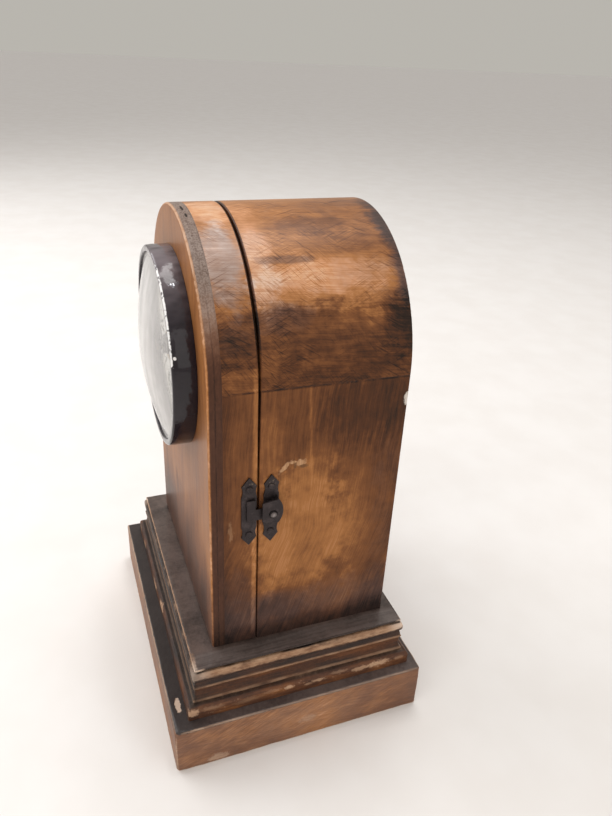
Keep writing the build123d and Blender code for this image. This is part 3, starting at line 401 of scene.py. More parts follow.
class CaseWood(Finish):
    """Wood of the case and its clouds. The grain runs up the boards, or through the depth of the arch."""

    def __init__(self, name, deep_grain):
        super().__init__(name)
        self.reach, self.girth, self.lower_girth = case_outline(self)
        drift = self.cloud(34, seed=1.0) * 3
        if deep_grain:
            self.grain = self.vector(self.girth + drift + self.y * 0.06, self.y, self.reach)
        else:
            lean = self.z * 0.08 + self.z.least(112) * 0.24
            self.grain = self.vector(self.y + drift - lean, self.z + self.y * 0.2, self.x)
        self.fibres = self.cloud((0.5, 14, 0.8), self.grain, detail=3.0, seed=1.5)
        self.strokes = self.cloud((1.9, 17, 5), self.grain, detail=4.0, rough=0.62, seed=2.0)
        self.patches = self.cloud((15, 24, 30), self.grain, detail=4.0, rough=0.6, seed=3.0)
        self.mottle = self.cloud(4.5, detail=4.0, rough=0.65, seed=5.5)
        self.pores = self.cloud((0.35, 4, 0.5), self.grain, detail=1.0, seed=5.0).fade(0.42, 0.62)
        self.ragged = self.cloud(2.2, detail=3.0, rough=0.65, seed=6.0)
        self.blotches = self.strokes + self.patches + self.mottle * 0.65

    def stained_and_sheened_over(self, tone_marks, lightness, dullness):
        """Lightness and dullness with soft-edged marks of stain, and on the arch of painted sheen, laid
        over them.
        """
        edges = self.cloud(8, detail=4.0, rough=0.62, seed=4.0) * 0.7 + self.strokes * 0.35
        right = self.x.fade(-12, 4)
        plan = self.vector(self.y, self.girth, 0)
        for spot in tone_marks:
            far = self.far_from(plan, (spot.depth, spot.girth, 0), (spot.half_depth, spot.half_girth, 1))
            share = (far + edges).fade(1.35, 0.55) * right
            lightness = share.math("MULTIPLY_ADD", spot.lift, lightness)
            dullness = share.math("MULTIPLY_ADD", spot.dull, dullness)
        return lightness, dullness

    def arch_tones(self):
        """Lightness, dullness and polish of the arch: blotched low down, paler and polished above."""
        girth, mottle = self.girth, self.mottle
        wavering = self.lower_girth + mottle * 5 + self.strokes * 4
        on_door = self.y.fade(SEAM + 0.5, SEAM - 0.5)
        upper = wavering.fade(*CASE_PALES) * (1 - on_door) + wavering.fade(*DOOR_PALES) * on_door
        rearwards = (self.y - 5).most(0)
        start = self.blotches * (0.19 - upper * 0.07) + 0.38 + upper * (0.38 - rearwards * 0.003)
        dull_start = self.patches * -0.40 + mottle * 0.25 - 0.28 + upper * 0.20
        lightness, dullness = self.stained_and_sheened_over(ARCH_STAINS_AND_SHEEN, start, dull_start)
        for lean, seed in ((0.62, 8.0), (-0.5, 9.0), (1.4, 10.0)):
            hatched = self.vector(girth + self.y * lean, self.y - girth * lean, self.reach)
            scuffs = self.cloud((0.5, 15, 3), hatched, detail=1.5, seed=seed)
            patchy = self.cloud(17, seed=seed + 5).fade(-0.2, 0.3)
            hatching = scuffs.fade(0.15, 0.5) * 0.08 - scuffs.fade(-0.12, -0.45) * 0.20
            lightness = lightness + hatching * patchy
        downwards = self.vector(girth, self.y + girth * 0.1, self.reach)
        drips = self.cloud((10, 1.5, 5), downwards, detail=3.0, rough=0.6, seed=13.0)
        blots = self.cloud((5, 7, 6), self.grain, detail=4.0, rough=0.65, seed=14.0)
        lightness = lightness + (drips * 0.06 + blots * 0.22) * (1 - upper)
        lap = (girth + self.ragged * 0.5).fade(LAP_GIRTH + 0.5, LAP_GIRTH - 0.5)
        lap = lap * self.y.fade(SEAM + 1, SEAM - 1) * self.x.fade(0, 5)
        lightness = lightness + lap * 0.14
        gap_shade = abs(self.y - SEAM).fade(1.2, 0.9) * (girth + mottle * 8).fade(188, 220)
        return lightness - gap_shade * 0.525, dullness, upper

    def board_tones(self):
        """Lightness and dullness of the side boards: a field of even ochre with a pale line above it."""
        start = self.blotches * 0.14 + 0.44
        dull_start = self.patches * -0.40 + self.mottle * 0.25 - 0.06
        lightness, dullness = self.stained_and_sheened_over(SIDE_STAINS, start, dull_start)
        pale_line = abs(self.y - 3.5 + (self.z - 160) * 0.06 + self.ragged * 0.5).fade(1.0, 0.2)
        lightness = lightness + pale_line * self.z.fade(128, 146) * self.x.fade(0, 5) * 0.13
        frontwards = (self.y + self.ragged * 0.8 + self.patches * 2).fade(PANEL_REAR + 6, PANEL_REAR)
        lightness = (lightness - frontwards * 0.09).math("SMOOTH_MIN", 0.77, 0.12)
        gap_shade = abs(self.y - SEAM).fade(0.75, 0.55) * self.z.fade(SPRING - 40, SPRING)
        return lightness - gap_shade * 0.245, dullness


def case_wood(name, deep_grain):
    """Blotchy hand-stained wood of the case, for its arch with a deep grain or for its side boards."""
    wood = CaseWood(name, deep_grain)
    fibres, patches, mottle, ragged, reach = wood.fibres, wood.patches, wood.mottle, wood.ragged, wood.reach
    coat = {}
    if deep_grain:
        lightness, dullness, polish = wood.arch_tones()
        coat = {"Coat Weight": polish * 0.30, "Coat Roughness": 0.36, "Coat IOR": 1.5}
    else:
        lightness, dullness = wood.board_tones()
    joint = abs(wood.z - SPRING + wood.y * 0.012).fade(0.7, 0.15)
    worn_joint = joint * (mottle * 0.8 + 0.5).fade(0.25, 0.6)
    lightness = lightness + fibres * 0.13 - wood.pores * 0.10 - worn_joint * 0.2

    # Soot above the plinth, greyer higher up as a painted sheen, and rubbed edges along the seam and at the
    # rear
    above = wood.z - PLINTH_TOP
    soot = (above + ragged * 2 + patches * 5).fade(13, 2)
    # Painted sheen: the haze greys the stain where light grazes the lower side
    haze = (above + ragged * 3 + patches * 10).fade(34, 8)
    lightness = lightness - soot * 0.23 - haze * 0.02
    dullness = dullness + haze * 0.75
    seam_rub = abs(wood.y - DOOR_REAR + 1.0 + ragged * 0.5).fade(1.5, 0.4)
    seam_rub = seam_rub * reach.fade(HALF_CASE - 0.8, HALF_CASE - 0.3)
    seam_rub = seam_rub * above.fade(2, 8) * wood.girth.fade(200, 183)
    rear_rub = rubbed_edge(wood, reach, BOX_REAR, ragged * 1.2, 1.4, 0.3) * mottle.fade(-0.1, 0.4)
    lightness = lightness + (seam_rub + rear_rub) * 0.20

    # Bare wood: the unstained inside, the splinter and its cracks, the scrape and the chip
    inside = (reach + ragged * 0.6).fade(HALF_CASE - 2.4, HALF_CASE - 4.0)
    inside = inside * (wood.y + ragged * 0.4).fade(BOX_REAR - 0.8, BOX_REAR - 1.8)
    off_y, off_z = wood.y - SLIVER.middle[1], wood.z - SLIVER.middle[2]
    leaning = wood.vector(wood.x - HALF_CASE, off_y * SLIVER_RUN + off_z * SLIVER_RISE,
                          off_z * SLIVER_RUN - off_y * SLIVER_RISE)
    splinter = wood.far_from(leaning, (0, 0, 0), SLIVER.half).least(wood.off(*SPLINTERS))
    torn = (splinter + wood.cloud(1.3, detail=3.0, rough=0.6, seed=11.0) * 0.7).fade(1.05, 0.55) * 0.85
    scrape = wood.off(SIDE_SCRAPE) + wood.cloud((1.0, 1.0, 3.0), detail=3.0, seed=12.0) * 1.1
    torn = torn.most(scrape.fade(0.8, 0.3) * 0.28)
    cracked = (wood.off(*CRACKS) + ragged * 0.6).fade(1.1, 0.4) * 0.7
    chipped = (wood.off(REAR_CHIP) + ragged * 0.6 + mottle * 0.4).fade(1.05, 0.75)

    colour = wood.layers(
        stain(wood, lightness, dullness),
        (wood.tint(BARE_WOOD, BARE_WOOD_DARK, (fibres + mottle * 0.3).fade(0.3, -0.5)), inside),
        (wood.tint(TORN_WOOD, TORN_WOOD_DARK, fibres.fade(0.2, -0.5)), torn),
        (CRACK_BROWN, cracked),
        (wood.tint(CHIP_WHITE, CHIP_GREY, ragged.fade(0.1, -0.5)), chipped))
    bare = torn.most(chipped)
    matt = inside.most(bare) * 0.25 + fibres * 0.05 + patches * 0.06 + mottle * 0.06
    matt = matt + (0.38 if deep_grain else 0.42)
    relief = fibres * 0.04 - wood.pores * 0.05 - bare * 0.35 - worn_joint * 0.2 + mottle * 0.05
    return wood.skin({"Base Color": colour, "Roughness": matt, "Specular IOR Level": 0.12, **coat}, relief)


def front_panel_wood():
    """Smoother, paler wood of the front, with a dark edge that turns paler and greyer over the arch as a
    painted sheen, and a rubbed front arris.
    """
    wood = Finish("front panel wood")
    reach, girth, lower_girth = case_outline(wood)
    drift = wood.cloud(40, seed=20.0) * 6
    grain = wood.vector(wood.x + drift + wood.z * 0.03, wood.z, wood.y)
    fibres = wood.cloud((0.5, 26, 0.8), grain, detail=3.0, seed=21.0)
    strokes = wood.cloud((4.5, 50, 8), grain, detail=4.0, rough=0.58, seed=22.0)
    patches = wood.cloud((34, 52, 40), grain, detail=4.0, rough=0.55, seed=23.0)
    mottle = wood.cloud(3.5, detail=4.0, rough=0.65, seed=27.0)
    ragged = wood.cloud(2.2, detail=3.0, rough=0.65, seed=24.0)
    pores = wood.cloud((0.35, 6, 0.5), grain, detail=1.0, seed=25.0).fade(0.42, 0.62)
    specks = wood.cloud(0.7, detail=3.0, rough=0.7, seed=28.0)
    front = (wood.y + ragged * 0.15).fade(DOOR_FRONT + 1.1, DOOR_FRONT + 0.5)
    above = wood.z - PLINTH_TOP

    # The face has soot at its foot. The edge is paler and greyer over the arch, a painted sheen
    margin = (reach + ragged * 2 + patches * 5).fade(HALF_CASE - 12, HALF_CASE - 1)
    soot = (above + ragged * 3 + patches * 22 + strokes * 9 + margin * 10).fade(62, 4)
    smudged = (wood.off(SMUDGE) + ragged * 0.4 + strokes * 0.6).fade(1.2, 0.3)
    face = strokes * 0.15 + patches * 0.14 + mottle * 0.04 + 0.625
    face = face + margin * 0.03 - soot * 0.34 - smudged * 0.10
    edge = patches * 0.10 + mottle * 0.10 + 0.33 + (lower_girth + mottle * 6).fade(*EDGE_SHEEN_PALES) * 0.43
    edge = edge - (above + ragged * 3).fade(24, 1) * 0.14
    groove = abs(wood.y - DOOR_FRONT - 3.2 + ragged * 0.3).fade(0.4, 0.1) * (mottle + 0.4).fade(0.1, 0.5)
    glue_line = abs(wood.y - PANEL_REAR + ragged * 0.15).fade(0.55, 0.15)
    arris = rubbed_edge(wood, reach, DOOR_FRONT, ragged * 0.4, 1.05, 0.35)
    lightness = front * (face - edge) + edge - groove * (1 - front) * 0.12 + fibres * 0.08 - pores * 0.07
    lightness = lightness + arris * (mottle * 0.9 + 0.7) * 0.26
    lightness = lightness - glue_line * (mottle + 0.3).fade(0.2, 0.7) * 0.09
    dullness = front * (patches * 0.3 + soot * 0.4) - front * 0.46 + patches * 0.3 + 0.52
    dullness = dullness + (1 - front) * (lower_girth + mottle * 6).fade(*EDGE_SHEEN_GREYS) * 0.5

    # Painted sheen: grey, with dark pits, where the edge runs over the arch
    greyed_sheen = (1 - front) * (lower_girth + mottle * 8).fade(*EDGE_SHEEN_GREYS) * (1 - arris) * 0.62
    pitted = (specks * 1.5 + mottle * 0.4).fade(-0.4, 0.3)
    pale_arris = arris * (lower_girth + mottle * 8).fade(190, 225) * (mottle * 0.6 + 0.6)
    nicks = wood.off(*EDGE_NICKS, place=wood.vector(wood.y, girth, 0))
    inside = (reach + ragged).fade(HALF_CASE - 1.8, HALF_CASE - 3.5)
    inside = inside * wood.y.fade(PANEL_REAR - 2, PANEL_REAR - 1)
    colour = wood.layers(
        stain(wood, lightness, dullness),
        (wood.tint(PIT_BLACK, PIT_GREY, pitted), greyed_sheen),
        (ARRIS_TAN, pale_arris),
        (NICK_BLACK, (nicks + ragged * 0.3).fade(1.1, 0.8) * 0.9),
        (wood.tint(BARE_WOOD, BARE_WOOD_DARK, fibres.fade(0.1, -0.5)), inside))
    matt = inside * 0.25 + fibres * 0.05 + patches * 0.06 + 0.36
    relief = fibres * 0.03 - pores * 0.05 - glue_line * 0.15 - groove * 0.10 - arris * 0.08
    return wood.skin({"Base Color": colour, "Roughness": matt, "Specular IOR Level": 0.07}, relief)


def back_wood():
    """Back board: plain brown stain outside, bare inside."""
    wood = Finish("back board wood")
    grain = wood.vector(wood.x, wood.z, wood.y)
    fibres = wood.cloud((0.6, 34, 1), grain, detail=3.0, seed=31.0)
    strokes = wood.cloud((7, 80, 8), grain, detail=3.0, rough=0.6, seed=32.0)
    patches = wood.cloud((40, 50, 40), grain, detail=3.0, seed=33.0)
    reach = case_outline(wood)[0]
    rim = reach.fade(HALF_CASE - 26, HALF_CASE - 9)
    soot = (wood.z + patches * 9).fade(PLINTH_TOP + 30, PLINTH_TOP + 2)
    lightness = strokes * 0.18 + patches * 0.20 + fibres * 0.12 - rim * 0.14 - soot * 0.26 + 0.47
    outside = wood.y.fade(BOX_REAR - 2.2, BOX_REAR - 1.2)
    bare_tone = wood.tint(BARE_WOOD, BARE_WOOD_DARK, strokes.fade(0.3, -0.5))
    colour = wood.tint(bare_tone, wood.ramp(lightness, *STAIN_TONES), outside)
    return wood.skin({"Base Color": colour, "Roughness": fibres * 0.06 + 0.52}, fibres * 0.05)


def bare_wood():
    """Unfinished wood of the case floor and the door's bottom rail."""
    wood = Finish("bare wood")
    grain = wood.vector(wood.y, wood.x, wood.z)
    fibres = wood.cloud((0.6, 30, 0.8), grain, detail=3.0, seed=41.0)
    strokes = wood.cloud((5, 70, 5), grain, detail=3.0, rough=0.6, seed=42.0)
    colour = wood.tint(BARE_WOOD, BARE_WOOD_DARK, (strokes + fibres * 0.5).fade(0.5, -0.6))
    return wood.skin({"Base Color": colour, "Roughness": fibres * 0.05 + 0.66}, fibres * 0.05)


# Marks on the slab: a bare chip on its ledge, and on its right side two scrapes and a paler field
LEDGE_CHIP = Spot(middle=(HALF_WIDTH - 15.6, -HALF_DEPTH + 4.2, SLAB_TOP), half=(4.8, 1.6, 4))
LOW_SCRAPE = Spot(middle=(HALF_WIDTH, -43, 3.2), half=(4, 6.0, 2.6))
MIDDLE_SCRAPE = Spot(middle=(HALF_WIDTH, 2, 12), half=(4, 5.5, 2.6))
PALE_FIELD = Spot(middle=(HALF_WIDTH, 2, 14), half=(4, 30, 14))


def slab_wood():
    """Plinth slab: brown scuffed sides, near-black ledge and rubbed arrises."""
    wood = Finish("slab wood")
    along = wood.x + wood.y
    grain = wood.vector(wood.z + along * 0.10, along, wood.x - wood.y)
    fibres = wood.cloud((0.7, 18, 18), grain, detail=3.0, seed=51.0)
    slanted = wood.vector(wood.z - along * 0.55, along + wood.z * 0.55, wood.x - wood.y)
    scuffs = wood.cloud((1.0, 13, 13), slanted, detail=4.0, rough=0.6, seed=52.0)
    patches = wood.cloud((24, 24, 15), detail=4.0, rough=0.6, seed=53.0)
    ragged = wood.cloud(2.0, detail=3.0, rough=0.65, seed=54.0)
    left_x = HALF_WIDTH - abs(wood.x)
    left_y = HALF_DEPTH - abs(wood.y)
    left_z = wood.z.least(SLAB_TOP - wood.z)
    edge_gap = left_x.least(left_y).most(left_x.most(left_y).least(left_z))
    ledge = (wood.z + ragged * 0.25).fade(SLAB_TOP - 1.0, SLAB_TOP - 0.5)
    on_right = wood.x.fade(HALF_WIDTH - 3, HALF_WIDTH - 1)

    # Stain of the sides, and soot on the ledge
    hatching = patches.fade(-0.35, 0.25) * wood.y.fade(45, -30, 0.55, 1.0)
    paler = (wood.off(PALE_FIELD) + patches * 0.4).fade(1.2, 0.2)
    sides = fibres * 0.13 + scuffs * hatching * 0.27 + patches * 0.25 + 0.60
    sides = sides + paler * 0.09 - wood.y.fade(30, 56) * on_right * 0.07
    top = patches * 0.12 + ragged * 0.07 + fibres * 0.05 + 0.30
    lightness = ledge * (top - sides) + sides
    dullness = ledge * 0.65 + patches * -0.5 + ragged * 0.2 + 0.35
    soot = wood.tint(LEDGE_BLACK, LEDGE_GREY, (patches + ragged * 0.5).fade(-0.5, 0.6))
    front_ledge = ledge * wood.y.fade(-HALF_DEPTH + 16, -HALF_DEPTH + 9)
    stained = wood.layers(stain(wood, lightness, dullness),
                          (soot, ledge * 0.75),
                          (LEDGE_FRONT, front_ledge * 0.75))

    # Bare wood on the arrises, the chip, the scrapes and the sole
    rub = (edge_gap + ragged * 0.5).fade(1.0, 0.25) * (patches * 0.6 + ragged * 0.5 + 0.75)
    rub = rub * (1 - on_right * wood.y.fade(-50, -20) * 0.5)
    sole = wood.z.fade(1.2, 0.4)
    chipped = (wood.off(LEDGE_CHIP) + ragged * 0.5).fade(1.0, 0.75)
    low_scrape = (wood.off(LOW_SCRAPE) + ragged * 0.8 + scuffs * 0.5).fade(1.0, 0.5)
    middle_scrape = (wood.off(MIDDLE_SCRAPE) + ragged * 0.8 + scuffs * 0.6).fade(1.0, 0.4)
    bare = (chipped * 0.9).most(low_scrape * 0.6).most(rub).most(middle_scrape * 0.4)
    bare_tone = wood.tint(SLAB_BARE, SLAB_BARE_DARK, fibres.fade(0.1, -0.5))
    bare_tone = wood.tint(bare_tone, SLAB_CHIP, chipped)
    colour = wood.tint(stained, bare_tone, bare.most(sole))
    matt = ledge * -0.16 + patches * 0.10 + fibres * 0.05 + sole * 0.2 + 0.50
    relief = fibres * 0.06 + scuffs * 0.06 - bare * 0.3 + ragged * 0.04
    return wood.skin({"Base Color": colour, "Roughness": matt, "Specular IOR Level": 0.35}, relief)


# Heights of the moulding's members above the slab
FOOT_TOP, COVE_FOOT, COVE_TOP = 6.8, 7.5, 15.5
BEAD_FOOT, BEAD_TOP, CAP_FOOT, CAP_TOP = 19.1, 24.1, 25.0, 26.0
# Bare scars on the moulding's foot: place along the right side or the front, height above the slab, half
# length, half height and share of bare wood
Scar = namedtuple("Scar", "along height reach rise share")
SIDE_SCARS = (
    Scar(along=-52.7, height=4.0, reach=3.0, rise=2.6, share=0.90),
    Scar(along=-44, height=4.6, reach=7.0, rise=1.5, share=0.35),
    Scar(along=-27, height=3.6, reach=8.0, rise=1.6, share=0.25),
    Scar(along=-15, height=4.9, reach=5.0, rise=1.1, share=0.30),
    Scar(along=-6.5, height=4.5, reach=2.6, rise=1.3, share=0.95),
    Scar(along=3.6, height=3.4, reach=2.6, rise=1.0, share=0.55),
    Scar(along=9.0, height=4.2, reach=4.6, rise=1.2, share=0.80),
    Scar(along=20, height=5.6, reach=5.5, rise=0.8, share=0.35),
    Scar(along=31, height=4.2, reach=5.5, rise=1.6, share=0.80),
    Scar(along=40.0, height=4.3, reach=7.0, rise=1.8, share=1.0),
    Scar(along=44.5, height=5.4, reach=3.0, rise=0.8, share=0.80),
    Scar(along=52, height=4.6, reach=3.0, rise=1.4, share=0.45),
)
FRONT_SCARS = (
    Scar(along=-69.5, height=4.0, reach=3.6, rise=1.3, share=0.80),
    Scar(along=-54.4, height=2.6, reach=4.2, rise=1.8, share=1.0),
    Scar(along=-17.3, height=3.2, reach=6.6, rise=2.2, share=1.0),
    Scar(along=2.9, height=4.6, reach=6.0, rise=1.8, share=1.0),
)
SCAR_DEPTH = 4
WORN_DECK = Spot(middle=(FOOT_X - 9, foot_low.y + 5.0, PLINTH_TOP), half=(9, 1.5, 6))


def scarred_by(wood, scarred, scars, edge, on_front):
    """Share of bare wood with a row of scars added, on the front of the foot or on its right side."""
    for scar in scars:
        height = SLAB_TOP + scar.height
        if on_front:
            spot = Spot((scar.along, foot_low.y, height), (scar.reach, SCAR_DEPTH, scar.rise))
        else:
            spot = Spot((FOOT_X, scar.along, height), (SCAR_DEPTH, scar.reach, scar.rise))
        scarred = scarred.most((wood.off(spot) + edge).fade(1.15, 0.45) * scar.share)
    return scarred


def moulding_wood():
    """Moulding: painted shade in its grooves, brown wood where bead and arrises are rubbed bare, a polished
    deck of soot with a painted sheen and a painted shade at its rim.
    """
    wood = Finish("moulding wood")
    along = wood.x + wood.y
    height = wood.z - SLAB_TOP
    lengthways = wood.vector(height, along, wood.x - wood.y)
    fibres = wood.cloud((0.6, 22, 22), lengthways, detail=3.0, seed=61.0)
    patches = wood.cloud((5, 26, 26), lengthways, detail=3.0, rough=0.6, seed=62.0)
    ragged = wood.cloud(1.6, detail=3.0, rough=0.65, seed=63.0)
    broken = wood.cloud((3, 11, 11), lengthways, detail=3.0, rough=0.6, seed=64.0)
    swells = wood.cloud(30, detail=1.0, seed=67.0)
    from_middle = abs(wood.y - FOOT_MIDDLE)
    corner_gap = (FOOT_X - 3 - abs(wood.x)).most(FOOT_Y - 3 - from_middle)
    near_corner = (corner_gap + ragged * 2 + broken * 2).fade(11, 0)

    # Stained wood under the wear: mottled foot, cove lighter towards its top, painted shade in the grooves
    # and under the bead
    foot = (height + ragged * 0.2).fade(FOOT_TOP + 0.1, FOOT_TOP - 0.3)
    cove = height.fade(COVE_FOOT - 0.2, COVE_FOOT + 0.3) * height.fade(COVE_TOP + 0.3, COVE_TOP - 0.2)
    rising = (height + patches * 3 + ragged).fade(COVE_FOOT + 1, COVE_TOP)
    lightness = fibres * 0.14 + patches * 0.16 + ragged * 0.07 + 0.24
    lightness = lightness + foot * (patches * 0.22 + broken * 0.12 + 0.16) + cove * (rising * 0.15 - 0.01)
    lightness = lightness - wood.y.fade(foot_low.y + 5.5, foot_low.y + 4) * 0.12
    # Painted shade: the groove under the cap, the groove over the foot and the narrow step under the bead
    # are darkened
    groove_shade = abs(height - (BEAD_TOP + CAP_FOOT) / 2).fade(0.6, 0.35) * 0.28
    groove_shade = groove_shade.most(abs(height - (FOOT_TOP + COVE_FOOT) / 2).fade(0.5, 0.3) * 0.08)
    neck_shade = abs(height - (COVE_TOP + BEAD_FOOT) / 2 - 0.2 + ragged * 0.2).fade(1.9, 1.2)
    lightness = lightness - groove_shade - neck_shade * 0.04
    dullness = patches * -0.5 + ragged * 0.2 - foot * 0.2 - cove * 0.25 + 0.40

    # Deck: polished soot, with a painted grey sheen streaked over its right side and a painted shade along
    # its rim
    inset = (FOOT_X - 4.4 - abs(wood.x)).least(FOOT_Y - 4.4 - from_middle)
    deck = height.fade(CAP_FOOT - 0.2, CAP_FOOT + 0.1)
    on_right = wood.x.fade(HALF_CASE, HALF_CASE + 3)
    smears = wood.cloud(14, detail=4.0, rough=0.6, seed=66.0) + ragged * 0.4 + fibres * 0.4
    smeared = wood.vector(wood.x + smears * 1.5, wood.y, wood.z)
    streaks = wood.cloud((1.1, 26, 4), smeared, detail=3.0, seed=68.0) * (on_right * 0.5 + 0.25)
    cloudy = (smears + swells * 0.4 + streaks).fade(-0.6, 0.6)
    # Painted shade along the deck's rim, and painted sheen in the grey laid over the right side
    rim = (inset + ragged * 0.3).fade(1.0, 0.3)
    soot_sheen_and_shade = wood.layers(wood.tint(DECK_BLACK, DECK_BROWN, cloudy),
                        (DECK_SOOT_AND_SHEEN, on_right * (smears * 0.4 + streaks * 0.6 + 0.55)),
                        (DECK_RIM_SHADE, rim * 0.8))
    stained = wood.tint(stain(wood, lightness, dullness), soot_sheen_and_shade, deck)

    # Wear: a wavy band on the bead, soft brown lines on the arrises, scars on the foot
    on_front = (wood.y + broken * 6).fade(-FOOT_Y + 12, -FOOT_Y + 6)
    wavy = (broken + ragged * 0.4) * 1.6 + swells * 1.4 - near_corner * 1.4 + on_front * 1.2
    bead = (height - BEAD_FOOT - 1.5 + wavy).fade(-0.8, 1.0) * height.fade(BEAD_TOP + 0.2, BEAD_TOP - 0.2)
    band = (patches * 0.8 + broken * 0.6 + near_corner + 0.75 - on_front * 0.45).fade(0.1, 0.9)
    worn = bead * band * (0.92 - on_front * 0.58)
    unbroken = (broken + near_corner * 0.4 + 0.8).fade(0.0, 0.9) * (1 - on_front * 0.6)
    for arris, strength in ((COVE_FOOT + 0.3, 0.45), (COVE_TOP - 0.2, 0.66)):
        line = abs(height - arris + ragged * 0.3).fade(1.25, 0.2)
        worn = worn.most(line * unbroken * strength)
    cap = abs(height - (CAP_FOOT + CAP_TOP) / 2 + ragged * 0.2).fade(0.9, 0.35)
    cap = cap * (inset + ragged * 0.5).fade(0.9, 0.3)
    worn = worn.most(cap * (near_corner * 0.9 + on_front * 0.9 + broken * 0.5).fade(0.3, 1.0) * 0.9)
    corner_rub = (corner_gap + ragged).fade(1.4, 0.2) * height.fade(FOOT_TOP - 0.5, COVE_FOOT + 1)
    worn = worn.most(corner_rub * height.fade(CAP_TOP - 0.1, CAP_TOP - 0.5) * 0.5)
    edge = ragged * 0.9 + broken * 0.5 + fibres * 0.3
    scarred = foot * (broken + ragged * 0.6 + patches * 0.4).fade(0.25, 0.6) * height.fade(1.0, 1.8) * 0.4
    scarred = scarred_by(wood, scarred, SIDE_SCARS, edge, on_front=False)
    scarred = scarred * wood.x.fade(FOOT_X - 6, FOOT_X - 4, 0.4, 1.0)
    scarred = scarred_by(wood, scarred, FRONT_SCARS, edge, on_front=True)
    worn = worn.most(scarred).most((wood.off(WORN_DECK) + ragged * 0.9).fade(1.1, 0.2) * 0.6)

    pale = (broken + fibres * 0.5 + ragged * 0.4).fade(-0.6, 0.7)
    rubbed_pale = near_corner * height.fade(BEAD_FOOT - 4, BEAD_FOOT) * 0.75
    brown = wood.layers(wood.tint(WORN_BROWN, WORN_TAN, pale),
                        (SCAR_TAN, scarred * 0.6),
                        (CORNER_CREAM, rubbed_pale))
    colour = wood.tint(stained, brown, worn)
    matt = fibres * 0.05 + patches * 0.08 - deck * 0.14 + worn * 0.08 + 0.48
    relief = fibres * 0.05 + ragged * 0.08 - worn * 0.12
    polish = deck * (smears * 0.3 + 0.55) * (1 - worn) * (1 - rim)
    return wood.skin({"Base Color": colour, "Roughness": matt, "Specular IOR Level": 0.22,
                      "Coat Weight": polish.held(), "Coat Roughness": 0.16, "Coat IOR": 1.6}, relief)


# A speck of white paint on the bezel's rim
WHITE_DOT = Spot(middle=(42.6, DOOR_FRONT - 8.4, DIAL_Z + 12.3), half=(1.4, 0.7, 0.75))


def bezel_lacquer():
    """Glossy black lacquer, uneven and smeared, with a painted grey reflection over its upper right and a
    flaked white line along its front rim that is partly a painted highlight.
    """
    lacquer = Finish("bezel lacquer")
    outward = DOOR_FRONT - lacquer.y
    up = lacquer.z - DIAL_Z
    radius = lacquer.x.beside(up)
    turn = up.math("ARCTAN2", lacquer.x)
    uneven = lacquer.cloud(9, seed=71.0)
    smears = lacquer.cloud((7, 14, 7), seed=74.0)
    dust = lacquer.cloud(0.8, seed=72.0)
    flakes = lacquer.cloud(1.0, detail=3.0, rough=0.7, seed=73.0)
    gaps = lacquer.cloud(3.0, seed=75.0)
    # White line along the front rim's crest on its upper right: flaked paint and a painted highlight of the
    # rounded lip; the speck is a paint chip
    crest = (outward + flakes * 0.5).fade(BEZEL_DEPTH - 0.78, BEZEL_DEPTH - 0.58)
    crest = crest * (radius + flakes * 0.3).fade(BEZEL_RADIUS - 1.2, BEZEL_RADIUS - 0.9)
    flaked_and_lit_side = turn.fade(0.14, 0.24) * turn.fade(1.4, 1.1)
    chips_and_glint = crest * (flakes * 0.7 + gaps * 0.8 + flaked_and_lit_side - 0.75).fade(0.0, 0.12)
    chips_and_glint = chips_and_glint.most((lacquer.off(WHITE_DOT) + dust * 0.3).fade(1.0, 0.75))
    # Painted reflection: the wall turns a paler grey-purple over its upper right, in cloudy patches
    upper_right = turn.fade(0.4, 1.25) * turn.fade(2.3, 1.6)
    cloudy = (smears + uneven * 0.4 + upper_right * 0.35).fade(-0.4, 0.8)
    reflected_grey = lacquer.tint((0.040, 0.033, 0.040), (0.165, 0.140, 0.152), upper_right)
    black = lacquer.tint((0.016, 0.012, 0.0165), reflected_grey, cloudy * turn.fade(-0.3, 0.9))
    ripples = lacquer.cloud(3.2, detail=1.5, seed=76.0)
    colour = lacquer.tint(black, (0.80, 0.79, 0.78), chips_and_glint)
    matt = cloudy * 0.05 + chips_and_glint * 0.3 + dust * 0.02 + 0.075
    return lacquer.skin({"Base Color": colour, "Roughness": matt, "Specular IOR Level": 0.36},
                        uneven * 0.14 + ripples * 0.06 + smears * 0.04 - chips_and_glint * 0.08)


def lens_glass():
    """Clear domed lens, hazed by fine scratches that show at a low angle, with paler streaks that are
    painted reflections.
    """
    glass = Finish("clear lens")
    clear = glass.node("ShaderNodeBsdfTransparent", sockets={"Color": (0.97, 0.97, 0.965)})
    haze = glass.cloud(7, detail=3.0, seed=81.0)
    # Painted reflections: paler vertical streaks in the lens's haze
    streaks = glass.cloud((5, 5, 60), seed=82.0)
    colour = glass.tint((0.63, 0.61, 0.60), (0.76, 0.74, 0.725), (haze * 0.4 + streaks).fade(-0.5, 0.6))
    gloss = glass.node("ShaderNodeBsdfPrincipled", sockets={
        "Base Color": colour, "Roughness": haze * 0.05 + 0.16, "IOR": 1.49})
    slant = glass.node("ShaderNodeLayerWeight", sockets={"Blend": 0.34}, out="Facing")
    share = (slant ** 1.5 * 0.98 + haze * 0.03 + 0.045).least(0.95)
    mixed = glass.node("ShaderNodeMixShader", sockets={0: share, 1: clear, 2: gloss})
    glass.node("ShaderNodeOutputMaterial", sockets={"Surface": mixed})
    return glass.material


def dial_paint():
    """Warm white dial, yellowed a little towards its rim."""
    paint = Finish("dial paint")
    radius = paint.x.beside(paint.z - DIAL_Z)
    clouds = paint.cloud(9, detail=4.0, seed=91.0)
    colour = paint.tint((0.80, 0.785, 0.745), (0.70, 0.665, 0.585), (radius + clouds * 6).fade(24, 42))
    speck = paint.cloud(0.6, seed=92.0)
    return paint.skin({"Base Color": colour, "Roughness": clouds * 0.05 + 0.55}, speck * 0.01)


